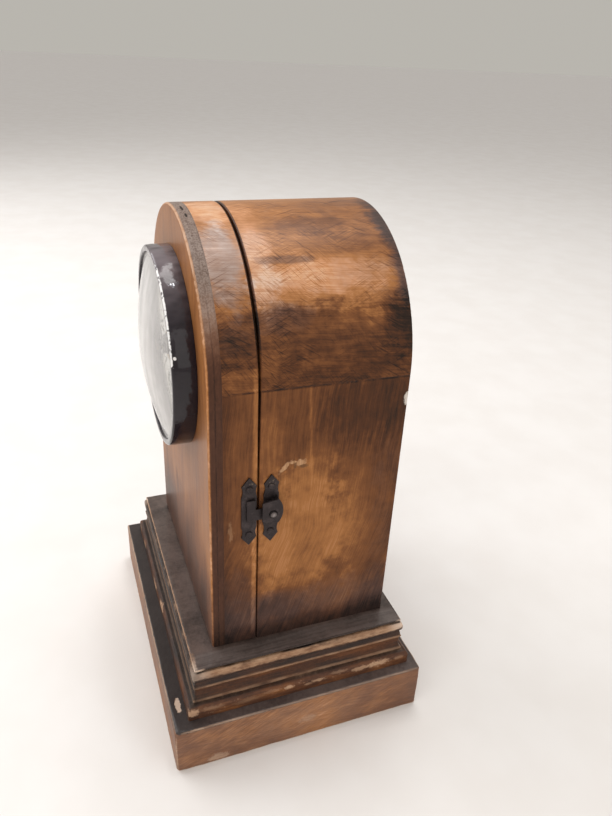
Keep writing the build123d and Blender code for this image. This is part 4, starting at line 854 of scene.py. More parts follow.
def dial_ink():
    """Printed ink, a little uneven."""
    ink = Finish("dial ink")
    uneven = ink.cloud(0.9, seed=95.0)
    colour = ink.tint((0.020, 0.018, 0.017), (0.055, 0.048, 0.042), uneven.fade(-0.1, 0.6))
    return ink.skin({"Base Color": colour, "Roughness": uneven * 0.08 + 0.5})


def metal(name, base, worn, roughness, metallic, size, seed, relief=0.02):
    """Metal with a patchy surface and a fine uneven relief."""
    finish = Finish(name)
    patches = finish.cloud(size, detail=3.0, rough=0.6, seed=seed)
    fine = finish.cloud(size / 6, detail=3.0, seed=seed + 1)
    colour = finish.tint(base, worn, (patches + fine * 0.5).fade(-0.2, 0.6))
    return finish.skin({"Base Color": colour, "Roughness": patches * 0.10 + fine * 0.06 + roughness,
                        "Metallic": metallic}, fine * relief)


def moulded(name, base, second, roughness, size, seed, relief=0.015):
    """Moulded plastic, rubber or card with a fine texture."""
    finish = Finish(name)
    patches = finish.cloud(size, detail=3.0, seed=seed)
    fine = finish.cloud(0.5, seed=seed + 1)
    colour = finish.tint(base, second, (patches + fine * 0.4).fade(-0.4, 0.6))
    return finish.skin({"Base Color": colour, "Roughness": patches * 0.06 + fine * 0.05 + roughness},
                       fine * relief)


def latch_bronze():
    """Bronzed sheet of the latch, rubbed through at its upper tips."""
    finish = Finish("latch metal")
    patches = finish.cloud(5, detail=3.0, rough=0.6, seed=101.0)
    fine = finish.cloud(0.8, detail=3.0, seed=102.0)
    upper_tips = finish.z.fade(catch_high.z - 6, catch_high.z - 2)
    rubbed = (patches * 0.5 + fine * 0.6).fade(0.12, 0.4) * upper_tips
    uneven = (patches + fine * 0.5).fade(-0.2, 0.6)
    colour = finish.tint((0.025, 0.0178, 0.0185), (0.058, 0.043, 0.0435), uneven)
    colour = finish.tint(colour, (0.25, 0.19, 0.125), rubbed * 0.8)
    matt = patches * 0.10 + fine * 0.06 + 0.44 - rubbed * 0.1
    return finish.skin({"Base Color": colour, "Roughness": matt, "Metallic": 0.55}, fine * 0.05)


def rivet_steel():
    """Rivet head: paler in its middle, partly from polish by handling and partly a painted highlight, with
    a painted shade round its rim.
    """
    steel = Finish("rivet steel")
    rivet_low, rivet_high = corners("latch_rivet")
    middle = (rivet_low + rivet_high) / 2
    radius = (steel.y - middle.y).beside(steel.z - middle.z)
    fine = steel.cloud(0.5, detail=3.0, seed=104.0)
    # Painted shade in the ring round the head; the paler middle is partly a painted highlight
    rim = (radius + fine * 0.2).fade(1.1, 1.6)
    colour = steel.tint((0.25, 0.218, 0.212), (0.12, 0.10, 0.097), (radius + fine * 0.6).fade(0.2, 1.2))
    colour = steel.tint(colour, (0.018, 0.014, 0.014), rim)
    return steel.skin({"Base Color": colour, "Roughness": fine * 0.05 + rim * 0.2 + 0.22, "Metallic": 0.85},
                      fine * 0.02)


def cell_sleeve():
    """Printed sleeve of the cell: dark body, copper-coloured band at its positive end."""
    finish = Finish("cell sleeve")
    cell_low, cell_high = corners("battery")
    band = (cell_high.x - finish.x).fade(15.5, 15.2)
    cap = (cell_high.x - finish.x).fade(2.0, 1.8).most((finish.x - cell_low.x).fade(0.6, 0.4))
    scuffs = finish.cloud((3, 0.8, 0.8), detail=3.0, seed=141.0)
    colour = finish.tint((0.018, 0.019, 0.022), (0.56, 0.30, 0.13), band)
    colour = finish.tint(colour, (0.55, 0.55, 0.54), cap)
    return finish.skin({"Base Color": colour, "Roughness": scuffs * 0.08 + 0.32,
                        "Metallic": band.most(cap) * 0.8}, scuffs * 0.01)


plain_steel = metal("plain steel", (0.52, 0.51, 0.50), (0.40, 0.39, 0.37),
                    roughness=0.30, metallic=1.0, size=3.0, seed=107.0)
hinge_brass = metal("hinge brass", (0.52, 0.36, 0.14), (0.30, 0.20, 0.085),
                    roughness=0.34, metallic=1.0, size=4.0, seed=110.0)
train_brass = metal("train brass", (0.60, 0.43, 0.18), (0.50, 0.34, 0.14),
                    roughness=0.26, metallic=1.0, size=3.0, seed=112.0)
hand_black = metal("hand black", (0.012, 0.012, 0.013), (0.030, 0.029, 0.028),
                   roughness=0.38, metallic=0.2, size=2.0, seed=114.0)
movement_black = moulded("movement black", (0.016, 0.016, 0.017), (0.032, 0.032, 0.033),
                         roughness=0.46, size=8.0, seed=120.0)
wheel_white = moulded("wheel white", (0.70, 0.69, 0.65), (0.62, 0.61, 0.57),
                      roughness=0.42, size=3.0, seed=123.0)
gasket_rubber = moulded("gasket rubber", (0.015, 0.015, 0.015), (0.035, 0.034, 0.033),
                        roughness=0.78, size=5.0, seed=126.0)
board_green = moulded("board green", (0.030, 0.105, 0.045), (0.045, 0.14, 0.06),
                      roughness=0.40, size=6.0, seed=129.0)
coil_copper = metal("coil copper", (0.58, 0.26, 0.12), (0.42, 0.17, 0.07),
                    roughness=0.34, metallic=1.0, size=1.0, seed=132.0, relief=0.05)

HINGE_PIECES = [f"hinge_{piece}_{end}" for piece in ("case_leaf", "door_leaf", "pin")
                for end in ("lower", "upper")]
HANDS = ("hour_hand", "minute_hand", "second_hand")
NODE_FINISHES = {
    case_wood("side wood", deep_grain=False): (
        "case_side_left", "case_side_right", "door_stile_left", "door_stile_right"),
    case_wood("arch wood", deep_grain=True): ("case_arch", "door_arch"),
    front_panel_wood(): ("door_front_panel",),
    back_wood(): ("case_back",),
    bare_wood(): ("case_floor", "door_bottom_rail"),
    slab_wood(): ("base_slab",),
    moulding_wood(): ("plinth_moulding",),
    bezel_lacquer(): ("bezel",),
    lens_glass(): ("lens",),
    dial_paint(): ("dial", "dial_pan"),
    latch_bronze(): ("latch_base_plate", "latch_catch_plate", "latch_lever", "latch_case_nails",
                     "latch_door_nails"),
    rivet_steel(): ("latch_rivet",),
    plain_steel: ("base_screws", "bridge_screws", "stator", "quartz_crystal", "battery_contact_positive",
                  "battery_contact_negative"),
    hinge_brass: (*HINGE_PIECES, "hinge_case_screws", "hinge_door_screws", "fixing_nut", "fixing_washer"),
    train_brass: ("cannon_pinion", "train_bridge"),
    hand_black: HANDS,
    movement_black: ("movement_housing", "movement_cover", "setting_knob"),
    wheel_white: ("hour_wheel", "motion_wheel", "seconds_wheel", "third_wheel", "centre_wheel",
                  "intermediate_wheel", "rotor"),
    gasket_rubber: ("movement_gasket",),
    board_green: ("circuit_board",),
    coil_copper: ("drive_coil",),
    cell_sleeve(): ("battery",),
}
NODE_FINISH_OF = {name: finish for finish, names in NODE_FINISHES.items() for name in names}
for name, finish in NODE_FINISH_OF.items():
    slots = nodes[name].data.materials
    slots.clear()
    slots.append(finish)


def between(value, low, high):
    """A value held between two limits."""
    return max(low, min(high, value))


def wobble(place, size, seed):
    """Smooth random height between -1 and 1 for a place in millimetres."""
    return noise.noise(Vector(place) / size + Vector((seed, 2.3 * seed, 5.1 * seed)))


def linked(name, data):
    """A new object for a mesh, lamp or camera, put into the scene."""
    thing = bpy.data.objects.new(name, data)
    scene.collection.objects.link(thing)
    return thing


def mesh_of(name, bm):
    """A mesh made of a drawing, which is then given up."""
    mesh = bpy.data.meshes.new(name)
    bm.to_mesh(mesh)
    bm.free()
    return mesh


def evaluated_mesh(thing):
    """Mesh of an object with its modifiers applied. They are then taken off."""
    depsgraph = bpy.context.evaluated_depsgraph_get()
    depsgraph.update()
    mesh = bpy.data.meshes.new_from_object(thing.evaluated_get(depsgraph))
    thing.modifiers.clear()
    return mesh


def carried(piece, body, stands_for):
    """Puts a piece on its body, and hides the CAD nodes it stands for."""
    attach(piece, body)
    if stands_for:
        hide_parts(*stands_for)


def finished(name, bm, material, body, slot, *stands_for, sharp=35, flats=False):
    """Turns a mesh drawn in millimetres into a piece that rides on a body and stands for CAD nodes.

    With flats, wide flat faces keep an even shading beside their rounded edges.
    """
    bmesh.ops.scale(bm, vec=(MM, MM, MM), verts=bm.verts)
    mesh = mesh_of(name, bm)
    mesh.polygons.foreach_set("use_smooth", [True] * len(mesh.polygons))
    mesh.set_sharp_from_angle(angle=math.radians(sharp))
    mesh.materials.append(material)
    piece = linked(name, mesh)
    if flats:
        piece.modifiers.new("even_flats", "WEIGHTED_NORMAL").keep_sharp = True
        piece.data = evaluated_mesh(piece)
    carried(piece, body, stands_for)
    return piece


def turned(profile, segments, place, closed=False):
    """Spins a profile of (radius, height) points about the upright axis of a frame."""
    bm = bmesh.new()
    rings = []
    for radius, height in profile:
        if radius < 1e-6:
            rings.append([bm.verts.new((0, 0, height))] * segments)
            continue
        turns = (math.tau * step / segments for step in range(segments))
        rings.append([bm.verts.new((radius * math.cos(t), radius * math.sin(t), height)) for t in turns])
    ends = rings[1:] + (rings[:1] if closed else [])
    for lower, upper in zip(rings, ends):
        for step in range(segments):
            after = (step + 1) % segments
            ring = dict.fromkeys((lower[step], lower[after], upper[after], upper[step]))
            if len(ring) > 2:
                bm.faces.new(ring)
    bmesh.ops.recalc_face_normals(bm, faces=bm.faces)
    bmesh.ops.transform(bm, matrix=place, verts=bm.verts)
    return bm


def bow(middle, radius, start, end, steps):
    """Points on an arc, between two angles in degrees."""
    turns = (math.radians(start + (end - start) * step / steps) for step in range(steps + 1))
    return [(middle[0] + radius * math.cos(t), middle[1] + radius * math.sin(t)) for t in turns]


def swelling(start, end, bulge, steps):
    """Points of a shallow curve from start to end, whose middle stands off the straight line by a bulge."""
    (x0, y0), (x1, y1) = start, end
    length = math.hypot(x1 - x0, y1 - y0)
    across = ((y1 - y0) / length, (x0 - x1) / length)
    points = []
    for step in range(steps + 1):
        share = step / steps
        off = bulge * math.sqrt(max(0.0, 1 - (2 * share - 1) ** 2))
        points.append((x0 + (x1 - x0) * share + across[0] * off, y0 + (y1 - y0) * share + across[1] * off))
    return points


# Edges that bend more than this many degrees count as sharp
SHARP_BEND = 30


def rounded(bm, width, steps, chosen):
    """Rounds the sharp edges of a mesh, or only the chosen ones."""
    edges = [edge for edge in bm.edges if len(edge.link_faces) == 2
             and edge.calc_face_angle() > math.radians(SHARP_BEND)
             and (chosen is None or chosen((edge.verts[0].co + edge.verts[1].co) / 2))]
    bmesh.ops.bevel(bm, geom=edges, offset=width, segments=steps, profile=0.5, affect="EDGES",
                    clamp_overlap=True)
    return bm


def softened(node, width, steps=3, chosen=None):
    """Copy of a CAD node, in millimetres, with its sharp edges rounded, or only the chosen ones."""
    bm = bmesh.new()
    bm.from_mesh(nodes[node].data)
    bmesh.ops.scale(bm, vec=(1000, 1000, 1000), verts=bm.verts)
    bmesh.ops.remove_doubles(bm, verts=bm.verts, dist=0.002)
    bmesh.ops.dissolve_limit(bm, angle_limit=math.radians(0.4), verts=bm.verts, edges=bm.edges)
    return rounded(bm, width, steps, chosen)


def on_outer_rim(*depths):
    """Picks edges on the outside of the case that lie at one of the given depths."""
    def chosen(middle):
        reach = math.hypot(middle.x, max(0.0, middle.z - SPRING))
        return reach > HALF_CASE - 0.5 and min(abs(middle.y - depth) for depth in depths) < 0.3
    return chosen


class Layout(Tree):
    """A Geometry Nodes tree with named inputs."""

    def __init__(self, name, **inputs):
        super().__init__(bpy.data.node_groups.new(name, "GeometryNodeTree"))
        sockets = self.tree.interface
        sockets.new_socket("Geometry", in_out="INPUT", socket_type="NodeSocketGeometry")
        self.identifiers = {}
        for key, kind in inputs.items():
            self.identifiers[key] = sockets.new_socket(key, in_out="INPUT", socket_type=kind).identifier
        sockets.new_socket("Geometry", in_out="OUTPUT", socket_type="NodeSocketGeometry")
        self.given = self.node("NodeGroupInput")

    def close(self, instances, material):
        """Makes real geometry of the instances and gives it its material."""
        real = self.node("GeometryNodeRealizeInstances", sockets={0: instances})
        dressed = self.node("GeometryNodeSetMaterial", sockets={0: real, "Material": material})
        self.node("NodeGroupOutput", sockets={0: dressed})

    def laid_out(self, **inputs):
        """Runs the tree and gives back its result as a mesh."""
        carrier = linked("layout_carrier", bpy.data.meshes.new("layout_carrier"))
        modifier = carrier.modifiers.new("layout", "NODES")
        modifier.node_group = self.tree
        for key, value in inputs.items():
            modifier[self.identifiers[key]] = value
        carrier.update_tag()
        mesh = evaluated_mesh(carrier)
        bpy.data.objects.remove(carrier)
        return mesh


# Fine cuts of the worn meshes, by their distance from an edge or a mitre in millimetres. Between them
# the slab is cut about every so many millimetres, and each run of the moulding into so many steps
SLAB_EDGE_CUTS = (0, 0.25, 0.55, 0.9, 1.3, 1.8, 2.5)
SLAB_STEP = 2.5
MITRE_CUTS = (0, 0.3, 0.7, 1.2, 1.8)
MOULDING_STEPS = 56
# Dented corners of the slab, with the wear that each adds, and how far a dent reaches
FRONT_RIGHT = Vector((HALF_WIDTH, -HALF_DEPTH, SLAB_TOP))
SLAB_DENTS = (
    (FRONT_RIGHT, 1.6),
    (Vector((HALF_WIDTH, HALF_DEPTH, SLAB_TOP)), 0.9),
    (FRONT_RIGHT - Vector((9, 0, 0)), 0.8),
    (FRONT_RIGHT - Vector((0, 0, SLAB_TOP)), 0.8),
)
DENT_REACH = 7
# Holes for the base screws under the slab
SCREW_RADIUS, BORE_RADIUS, BORE_DEPTH = 3.5, 3.85, 16


def worn_slab(material):
    """Slab of the plinth, its arrises worn round by differing amounts and its corners dented."""
    low = Vector((-HALF_WIDTH, -HALF_DEPTH, 0))
    high = Vector((HALF_WIDTH, HALF_DEPTH, SLAB_TOP))
    margin = SLAB_EDGE_CUTS[-1]
    steps = []
    for start, end in zip(low, high):
        span = end - start - 2 * margin
        inner = math.ceil(span / SLAB_STEP)
        steps.append([start + cut for cut in SLAB_EDGE_CUTS]
                     + [start + margin + span * i / inner for i in range(1, inner)]
                     + [end - cut for cut in reversed(SLAB_EDGE_CUTS)])
    bm = bmesh.new()
    shared = {}

    def worn_vertex(place):
        """Vertex for a place on the block, drawn in where its arris is worn."""
        if place in shared:
            return shared[place]
        spot = Vector(place)
        radius = 0.95 + 0.55 * wobble(spot, size=9, seed=1.0) + 0.35 * wobble(spot, size=2.6, seed=2.0)
        for middle, more in SLAB_DENTS:
            radius += more * max(0.0, 1 - (spot - middle).length / DENT_REACH)
        radius = between(radius, 0.3, 2.6)
        core = Vector(between(s, l + radius, h - radius) for s, l, h in zip(spot, low, high))
        off = spot - core
        if off.length > radius:
            spot = core + off * (radius / off.length)
        shared[place] = bm.verts.new(spot)
        return shared[place]

    for axis in range(3):
        first, second = [a for a in range(3) if a != axis]
        for level in (low[axis], high[axis]):
            for a0, a1 in zip(steps[first], steps[first][1:]):
                for b0, b1 in zip(steps[second], steps[second][1:]):
                    ring = []
                    for a, b in ((a0, b0), (a1, b0), (a1, b1), (a0, b1)):
                        place = [0, 0, 0]
                        place[axis], place[first], place[second] = level, a, b
                        ring.append(worn_vertex(tuple(place)))
                    bm.faces.new(ring)
    bmesh.ops.recalc_face_normals(bm, faces=bm.faces)
    slab = finished("worn_slab", bm, material, "case", "dark_wood", "base_slab", sharp=60)

    holes = bmesh.new()
    screw_low, screw_high = corners("base_screws")
    profile = ((0, -1), (BORE_RADIUS, -1), (BORE_RADIUS, BORE_DEPTH), (0, BORE_DEPTH))
    for x in (screw_low.x + SCREW_RADIUS, screw_high.x - SCREW_RADIUS):
        for y in (screw_low.y + SCREW_RADIUS, screw_high.y - SCREW_RADIUS):
            bore = mesh_of("bore", turned(profile, segments=48, place=Matrix.Translation((x, y, 0))))
            holes.from_mesh(bore)
            bpy.data.meshes.remove(bore)
    bmesh.ops.scale(holes, vec=(MM, MM, MM), verts=holes.verts)
    cutter = linked("slab_bores", mesh_of("slab_bores", holes))
    cut = slab.modifiers.new("bores", "BOOLEAN")
    cut.object = cutter
    cut.operation = "DIFFERENCE"
    cut.solver = "EXACT"
    slab.data = evaluated_mesh(slab)
    bpy.data.objects.remove(cutter)


def moulding_profile():
    """The moulding from its foot to its top edge, as (inset, height) with small rounds on the arrises."""
    rows = [(0, 0), (0, 1.2), (0, 2.4), (0, 3.6), (0, 4.8)]
    rows += [(2.0 - x, y) for x, y in bow((0, 4.8), radius=2.0, start=0, end=90, steps=6)][1:]
    rows += [(2.8, 6.85), (3.15, 7.0), (3.15, 7.5), (2.95, 7.55), (2.82, 7.7)]
    rows += swelling((2.85, 7.8), (3.4, 15.4), bulge=1.0, steps=14)
    rows += [(3.65, 15.6), (3.9, 17.0), (4.4, BEAD_FOOT)]
    rows += swelling((4.4, BEAD_FOOT), (4.4, BEAD_TOP), bulge=-1.2, steps=10)[1:]
    rows += [(5.3, BEAD_TOP), (5.3, CAP_FOOT), (4.65, CAP_FOOT), (4.45, 25.15), (4.4, 25.4)]
    rows += [(4.42, 25.7), (4.6, 25.92), (4.9, CAP_TOP)]
    return rows


def worn_moulding(material):
    """Moulding of the plinth, run round the four sides with mitred corners and worn unevenly."""
    bm = bmesh.new()
    rows = moulding_profile() + [(inset, CAP_TOP) for inset in (6.5, 9, 14)]
    margin = MITRE_CUTS[-1]
    turns = ((-1, -1), (1, -1), (1, 1), (-1, 1))
    rings = []
    for inset, height in rows:
        half_x, half_y = FOOT_X - inset, FOOT_Y - inset
        stations = []
        for (x0, y0), (x1, y1) in zip(turns, turns[1:] + turns[:1]):
            length = abs(x1 - x0) * half_x + abs(y1 - y0) * half_y
            step = (length - 2 * margin) / MOULDING_STEPS
            shares = [cut / length for cut in MITRE_CUTS]
            shares += [(margin + step * i) / length for i in range(1, MOULDING_STEPS)]
            shares += [1 - cut / length for cut in MITRE_CUTS[:0:-1]]
            stations += [(half_x * (x0 + (x1 - x0) * s), half_y * (y0 + (y1 - y0) * s)) for s in shares]
        ring = []
        for x, y in stations:
            place = (x, y, height)
            round_off = 0.7 + 0.35 * wobble(place, size=5, seed=3.0)
            spare_x, spare_y = half_x - abs(x), half_y - abs(y)
            if spare_x < round_off and spare_y < round_off:
                core_x, core_y = half_x - round_off, half_y - round_off
                off = Vector((abs(x) - core_x, abs(y) - core_y))
                off *= round_off / max(off.length, 1e-9)
                x = math.copysign(core_x + off.x, x)
                y = math.copysign(core_y + off.y, y)
            wear = 0.16 * wobble(place, size=6, seed=4.0) + 0.09 * wobble(place, size=1.8, seed=5.0)
            if 0.5 < height < CAP_TOP - 0.3:
                x -= math.copysign(wear + 0.12, x) * (1 if half_x - abs(x) < 0.8 else 0)
                y -= math.copysign(wear + 0.12, y) * (1 if half_y - abs(y) < 0.8 else 0)
            waver = 0
            if FOOT_TOP < height < CAP_FOOT - 0.5:
                plan = (x, y, 0)
                waver = 0.28 * wobble(plan, size=13, seed=6.0) + 0.16 * wobble(plan, size=4, seed=7.0)
            ring.append(bm.verts.new((x, y + FOOT_MIDDLE, SLAB_TOP + height + waver)))
        rings.append(ring)
    for lower, upper in zip(rings, rings[1:]):
        for step in range(len(lower)):
            after = (step + 1) % len(lower)
            bm.faces.new((lower[step], lower[after], upper[after], upper[step]))
    bm.faces.new(rings[-1])
    bm.faces.new(reversed(rings[0]))
    bmesh.ops.recalc_face_normals(bm, faces=bm.faces)
    finished("worn_moulding", bm, material, "case", "dark_wood", "plinth_moulding", sharp=50)


CASE_BOARDS = ("case_side_left", "case_side_right", "case_arch",
               "door_stile_left", "door_stile_right", "door_arch")


def case_boards():
    """Boards of the case and the door, their free edges rubbed round, more so over the arch."""
    seams = on_outer_rim(DOOR_REAR, BOX_FRONT)
    ends = on_outer_rim(DOOR_FRONT, BOX_REAR)
    for name in CASE_BOARDS:
        body = name.split("_")[0]
        on_arch = name.endswith("arch")
        bm = softened(name, width=0.65 if on_arch else 0.2, chosen=seams)
        if name == "door_stile_right":
            # The seam narrows towards its foot
            for vertex in bm.verts:
                closing = 0.05 + 0.55 * (SPRING - vertex.co.z) / (SPRING - PLINTH_TOP)
                vertex.co.y += closing if vertex.co.y > DOOR_REAR - 0.3 else 0
        if body == "case":
            bm = rounded(bm, width=0.9, steps=3, chosen=ends)
        finished("rubbed_" + name, bm, NODE_FINISH_OF[name], body, "stained_wood", name, flats=True)
    name = "door_front_panel"
    panel = softened(name, width=0.9, steps=4, chosen=ends)
    finished("rubbed_front_panel", panel, NODE_FINISH_OF[name], "door", "stained_wood", name, flats=True)


def bezel_ring(material):
    """Bezel: straight wall, narrow round front rim and a lip over the dial."""
    depth, radius = BEZEL_DEPTH, BEZEL_RADIUS
    mouth, lip = 41.5, 40.4
    profile = [(radius - 0.9, 0), (radius - 0.25, 0), (radius - 0.05, 0.12), (radius, 0.35), (radius, 2.5)]
    profile += [(radius, 5), (radius, 7.2), (radius - 0.1, 8.2)]
    profile += bow((radius - 1.2, depth - 1.0), radius=1.0, start=0, end=90, steps=10)
    profile += bow((mouth + 0.5, depth - 0.5), radius=0.5, start=90, end=180, steps=5)
    profile += [(mouth, depth - 1.0), (mouth, 8.0), (mouth, 7.3), (lip + 0.5, 7.0)]
    profile += [(lip, 6.6), (lip, 1.6), (lip, 0)]
    ring = turned(profile, segments=320, place=DIAL_PLACE, closed=True)
    finished("bezel_ring", ring, material, "door", "black_gloss", "bezel")


def numeral_strokes(text, height):
    """Strokes of a Roman numeral as four-cornered outlines, set side by side about the middle."""
    thick, thin, gap, serif = (share * height for share in (0.150, 0.055, 0.11, 0.055))
    strokes = []

    def bar(foot, head, width):
        """A straight stroke, by the left corners of its foot and its head."""
        strokes.append(((foot, 0), (foot + width, 0), (head + width, height), (head, height)))

    pen = 0.0
    for letter in text:
        wide = {"I": thick, "V": 0.56 * height, "X": 0.60 * height}[letter]
        right = pen + wide
        if letter == "I":
            bar(pen, pen, thick)
            feet = [(pen, thick)]
        elif letter == "V":
            nib = pen + wide / 2
            bar(nib - thick / 2, pen, thick)
            bar(nib - thin / 2, right - thin, thin)
            feet = [(pen, thick), (right - thin, thin)]
        else:
            bar(right - thick, pen, thick)
            bar(pen, right - thin, thin)
            feet = [(pen, thick), (right - thick, thick)]
        levels = [(height - serif, height)] if letter == "V" else [(0, serif), (height - serif, height)]
        for start, width in feet:
            left, end = start - serif, start + width + serif
            strokes += [((left, low), (end, low), (end, high), (left, high)) for low, high in levels]
        pen += wide + gap
    middle = (pen - gap) / 2
    return [[(x - middle, y) for x, y in stroke] for stroke in strokes]


# Print on the dial, in millimetres: its height, the numerals and the minute track
PRINT_HEIGHT, LAYER_HEIGHT = 0.06, 0.002
NUMERALS = ("XII", "I", "II", "III", "IIII", "V", "VI", "VII", "VIII", "IX", "X", "XI")
NUMERAL_FOOT, NUMERAL_HEIGHT = 24.5, 7.6
TRACK_RADIUS, TICK_LENGTH, TICK_WIDTH = 36.6, 1.8, 0.32


def dial_print(material):
    """Hour numerals and the minute track, raised a hair's breadth off the dial."""
    face = DOOR_FRONT - dial_low.y
    bm = bmesh.new()
    for hour, text in enumerate(NUMERALS):
        turn = Matrix.Rotation(-math.tau * hour / 12, 4, "Z") @ Matrix.Translation((0, NUMERAL_FOOT, 0))
        for layer, stroke in enumerate(numeral_strokes(text, NUMERAL_HEIGHT)):
            lift = face + PRINT_HEIGHT + LAYER_HEIGHT * layer
            low = [bm.verts.new(DIAL_PLACE @ turn @ Vector((x, y, face))) for x, y in stroke]
            high = [bm.verts.new(DIAL_PLACE @ turn @ Vector((x, y, lift))) for x, y in stroke]
            bm.faces.new(high)
            for step in range(4):
                bm.faces.new((low[step], low[step - 3], high[step - 3], high[step]))
    bmesh.ops.recalc_face_normals(bm, faces=bm.faces)
    finished("dial_numerals", bm, material, "door", "black_metal")

    measures = dict.fromkeys(("Radius", "Length", "Width", "Lift"), "NodeSocketFloat")
    track = Layout("minute track", **measures, Ink="NodeSocketMaterial")
    radius, length, width, lift = (track.given.out(key) for key in measures)
    circle = track.node("GeometryNodeMeshCircle", sockets={"Vertices": 60, "Radius": radius})
    size = track.node("ShaderNodeCombineXYZ", sockets={0: length, 1: width, 2: lift * 2})
    tick = track.node("GeometryNodeMeshCube", sockets={"Size": size})
    index = track.node("GeometryNodeInputIndex")
    turn = track.node("ShaderNodeCombineXYZ", sockets={0: 0.0, 1: 0.0, 2: index * (math.tau / 60)})
    on_hour = index.math("MODULO", 5).math("LESS_THAN", 0.5)
    swell = track.node("ShaderNodeCombineXYZ", sockets={0: on_hour * 0.5 + 1, 1: on_hour * 2.0 + 1, 2: 1.0})
    ticks = track.node("GeometryNodeInstanceOnPoints", sockets={
        "Points": circle, "Instance": tick, "Rotation": turn, "Scale": swell})
    ring = track.node("GeometryNodeMeshCircle", sockets={"Vertices": 240, "Radius": radius})
    path = track.node("GeometryNodeMeshToCurve", sockets={0: ring})
    bar = track.node("GeometryNodeCurvePrimitiveQuadrilateral",
                     sockets={"Width": lift * 2, "Height": width})
    rail = track.node("GeometryNodeCurveToMesh", sockets={"Curve": path, "Profile Curve": bar})
    both = track.node("GeometryNodeJoinGeometry", sockets={0: ticks})
    track.tree.links.new(rail.socket, both.socket.node.inputs[0])
    track.close(both, track.given.out("Ink"))
    mesh = track.laid_out(Radius=TRACK_RADIUS * MM, Length=TICK_LENGTH * MM, Width=TICK_WIDTH * MM,
                          Lift=PRINT_HEIGHT * MM, Ink=material)
    place = DIAL_PLACE.copy()
    place.translation *= MM
    mesh.transform(place @ Matrix.Translation((0, 0, face * MM)))
    mesh.name = "minute_track"
    carried(linked("minute_track", mesh), "door", ())


def rivet_dome():
    """Rivet of the latch: a shank and a domed head, which looks out of the right side."""
    low, high = corners("latch_rivet")
    radius = (high.y - low.y) / 2
    head_foot = high.x - 0.8
    shank_radius, shank_end = 1.2, low.x - head_foot
    wall, dome_foot, dome_rise = 0.12, 0.14, 0.76
    profile = [(0, shank_end), (shank_radius, shank_end), (shank_radius, 0), (radius, 0), (radius, wall)]
    for step in range(1, 10):
        turn = math.radians(step * 9)
        profile.append((radius * math.cos(turn), dome_foot + dome_rise * math.sin(turn)))
    profile.append((0, dome_foot + dome_rise))
    middle = (head_foot, (low.y + high.y) / 2, (low.z + high.z) / 2)
    outwards = Matrix(((0, 0, 1, 0), (1, 0, 0, 0), (0, 1, 0, 0), (0, 0, 0, 1)))
    return turned(profile, segments=48, place=Matrix.Translation(middle) @ outwards)


def latch_pieces():
    """Latch plates and lever with rounded edges, and the rivet with its domed head."""
    for name, node, body, slot in (
        ("latch_base", "latch_base_plate", "case", "bronzed_steel"),
        ("latch_catch", "latch_catch_plate", "door", "bronzed_steel"),
        ("latch_rivet_domed", "latch_rivet", "case", "bright_steel"),
        ("latch_lever_rounded", "latch_lever", "latch_lever_body", "bronzed_steel"),
    ):
        domed = node == "latch_rivet"
        bm = rivet_dome() if domed else softened(node, width=0.22)
        finished(name, bm, NODE_FINISH_OF[node], body, slot, node, flats=not domed)


def eased_fittings():
    """Hinges, hands and movement pieces, their edges eased as stamping and moulding leave them."""
    for slot, width, names in (
        ("brass", 0.16, (*HINGE_PIECES, "fixing_nut")),
        ("movement_plastic", 0.35, ("movement_cover", "setting_knob")),
        ("cell_sleeve", 0.3, ("battery",)),
        ("black_metal", 0.07, HANDS),
    ):
        for name in names:
            eased = softened(name, width)
            body = nodes[name]["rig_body"]
            finished("eased_" + name, eased, NODE_FINISH_OF[name], body, slot, name, flats=True)


case_boards()
worn_slab(NODE_FINISH_OF["base_slab"])
worn_moulding(NODE_FINISH_OF["plinth_moulding"])
bezel_ring(NODE_FINISH_OF["bezel"])
dial_print(dial_ink())
latch_pieces()
eased_fittings()


def pale_floor():
    """Wide pale floor under the clock."""
    bm = bmesh.new()
    bmesh.ops.create_grid(bm, x_segments=2, y_segments=2, size=12)
    mesh = mesh_of("pale_floor", bm)
    floor = linked("pale_floor", mesh)
    cloth = Finish("pale floor")
    weave = cloth.cloud(40, detail=3.0, seed=151.0)
    colour = cloth.tint((0.79, 0.765, 0.74), (0.76, 0.73, 0.70), weave.fade(-0.5, 0.5))
    mesh.materials.append(cloth.skin({"Base Color": colour, "Roughness": 0.8, "Specular IOR Level": 0.2}))


def studio_world():
    """Even soft light, and a pale background for the eye and for reflections."""
    world = bpy.data.worlds.new("studio")
    scene.world = world
    world.use_nodes = True
    tree = Tree(world.node_tree)
    world.node_tree.nodes.clear()
    seen = tree.node("ShaderNodeLightPath", out="Is Camera Ray")
    seen = seen.most(seen.out("Is Glossy Ray")).most(seen.out("Is Transmission Ray"))
    light = tree.node("ShaderNodeBackground", sockets={"Color": (1.0, 0.97, 0.94), "Strength": 0.62})
    pale = tree.node("ShaderNodeBackground", sockets={"Color": (0.485, 0.465, 0.425), "Strength": 1.0})
    both = tree.node("ShaderNodeMixShader", sockets={0: seen, 1: light, 2: pale})
    tree.node("ShaderNodeOutputWorld", sockets={"Surface": both})


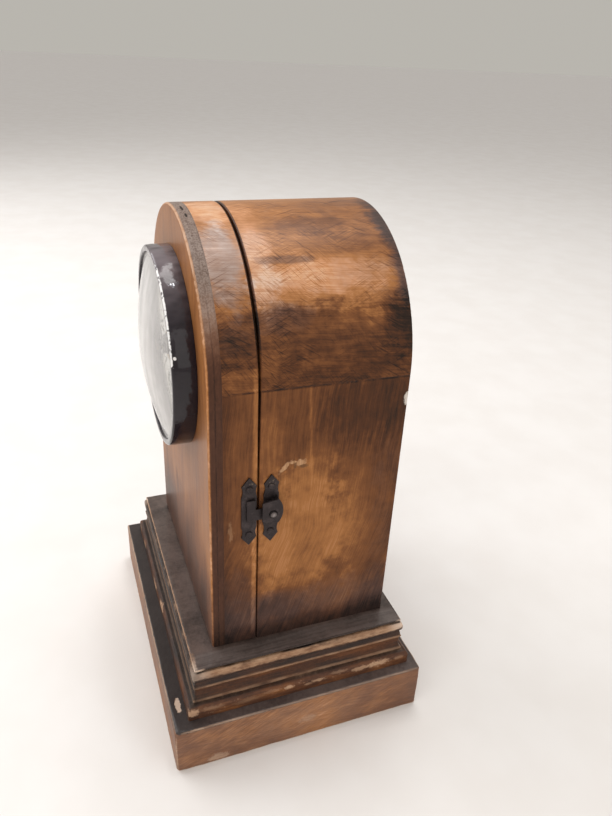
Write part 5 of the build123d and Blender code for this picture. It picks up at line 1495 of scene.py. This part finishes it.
def soft_box(name, place, aim, size, power, tone):
    """Square lamp that faces a point."""
    lamp = bpy.data.lights.new(name, "AREA")
    lamp.size = size
    lamp.energy = power
    lamp.color = tone
    holder = linked(name, lamp)
    holder.location = place
    holder.rotation_euler = (Vector(aim) - Vector(place)).to_track_quat("-Z", "Y").to_euler()


def photo_lamps():
    """Overhead lamp, a window on the left and soft fills, as the photograph's sheen shows them."""
    middle = (0, 0, 0.12)
    soft_box("overhead", (-0.36, 0.24, 1.60), (0, 0, 0.2), size=0.6, power=7.0, tone=(1.0, 0.98, 0.96))
    soft_box("ceiling", (-0.02, 0.153, 1.40), (0, 0, 0.2), size=0.08, power=1.5, tone=(0.92, 0.95, 1.0))
    soft_box("window", (-0.75, -0.85, 0.95), middle, size=1.2, power=12.0, tone=(0.97, 0.98, 1.0))
    soft_box("key", (0.65, -0.85, 1.05), middle, size=1.0, power=5.0, tone=(1.0, 0.97, 0.93))
    soft_box("fill", (1.2, 0.40, 0.60), middle, size=1.0, power=2.5, tone=(1.0, 0.97, 0.94))


# The photograph's camera: azimuth from the front, elevation and roll in degrees, place in metres
CAMERA_ANGLES = (68.26, 27.91, 3.04)
CAMERA_PLACE = (0.28666, -0.09008, 0.30312)
LENS, FILM_WIDTH = 30.30, 36.0


def photo_camera():
    """Camera at the photograph's place."""
    azimuth, elevation, roll = (math.radians(angle) for angle in CAMERA_ANGLES)
    ahead = Vector((-math.sin(azimuth) * math.cos(elevation), math.cos(azimuth) * math.cos(elevation),
                    -math.sin(elevation)))
    level = ahead.cross(Vector((0, 0, 1))).normalized()
    upright = level.cross(ahead)
    right = level * math.cos(roll) + upright * math.sin(roll)
    up = right.cross(ahead)
    camera = bpy.data.cameras.new("photo_camera")
    camera.lens = LENS
    camera.sensor_width = FILM_WIDTH
    camera.clip_start = 0.01
    holder = linked("photo_camera", camera)
    turn = Matrix((right, up, -ahead)).transposed().to_4x4()
    holder.matrix_world = Matrix.Translation(CAMERA_PLACE) @ turn
    scene.camera = holder


pale_floor()
studio_world()
photo_lamps()
photo_camera()
scene.view_settings.view_transform = "Standard"
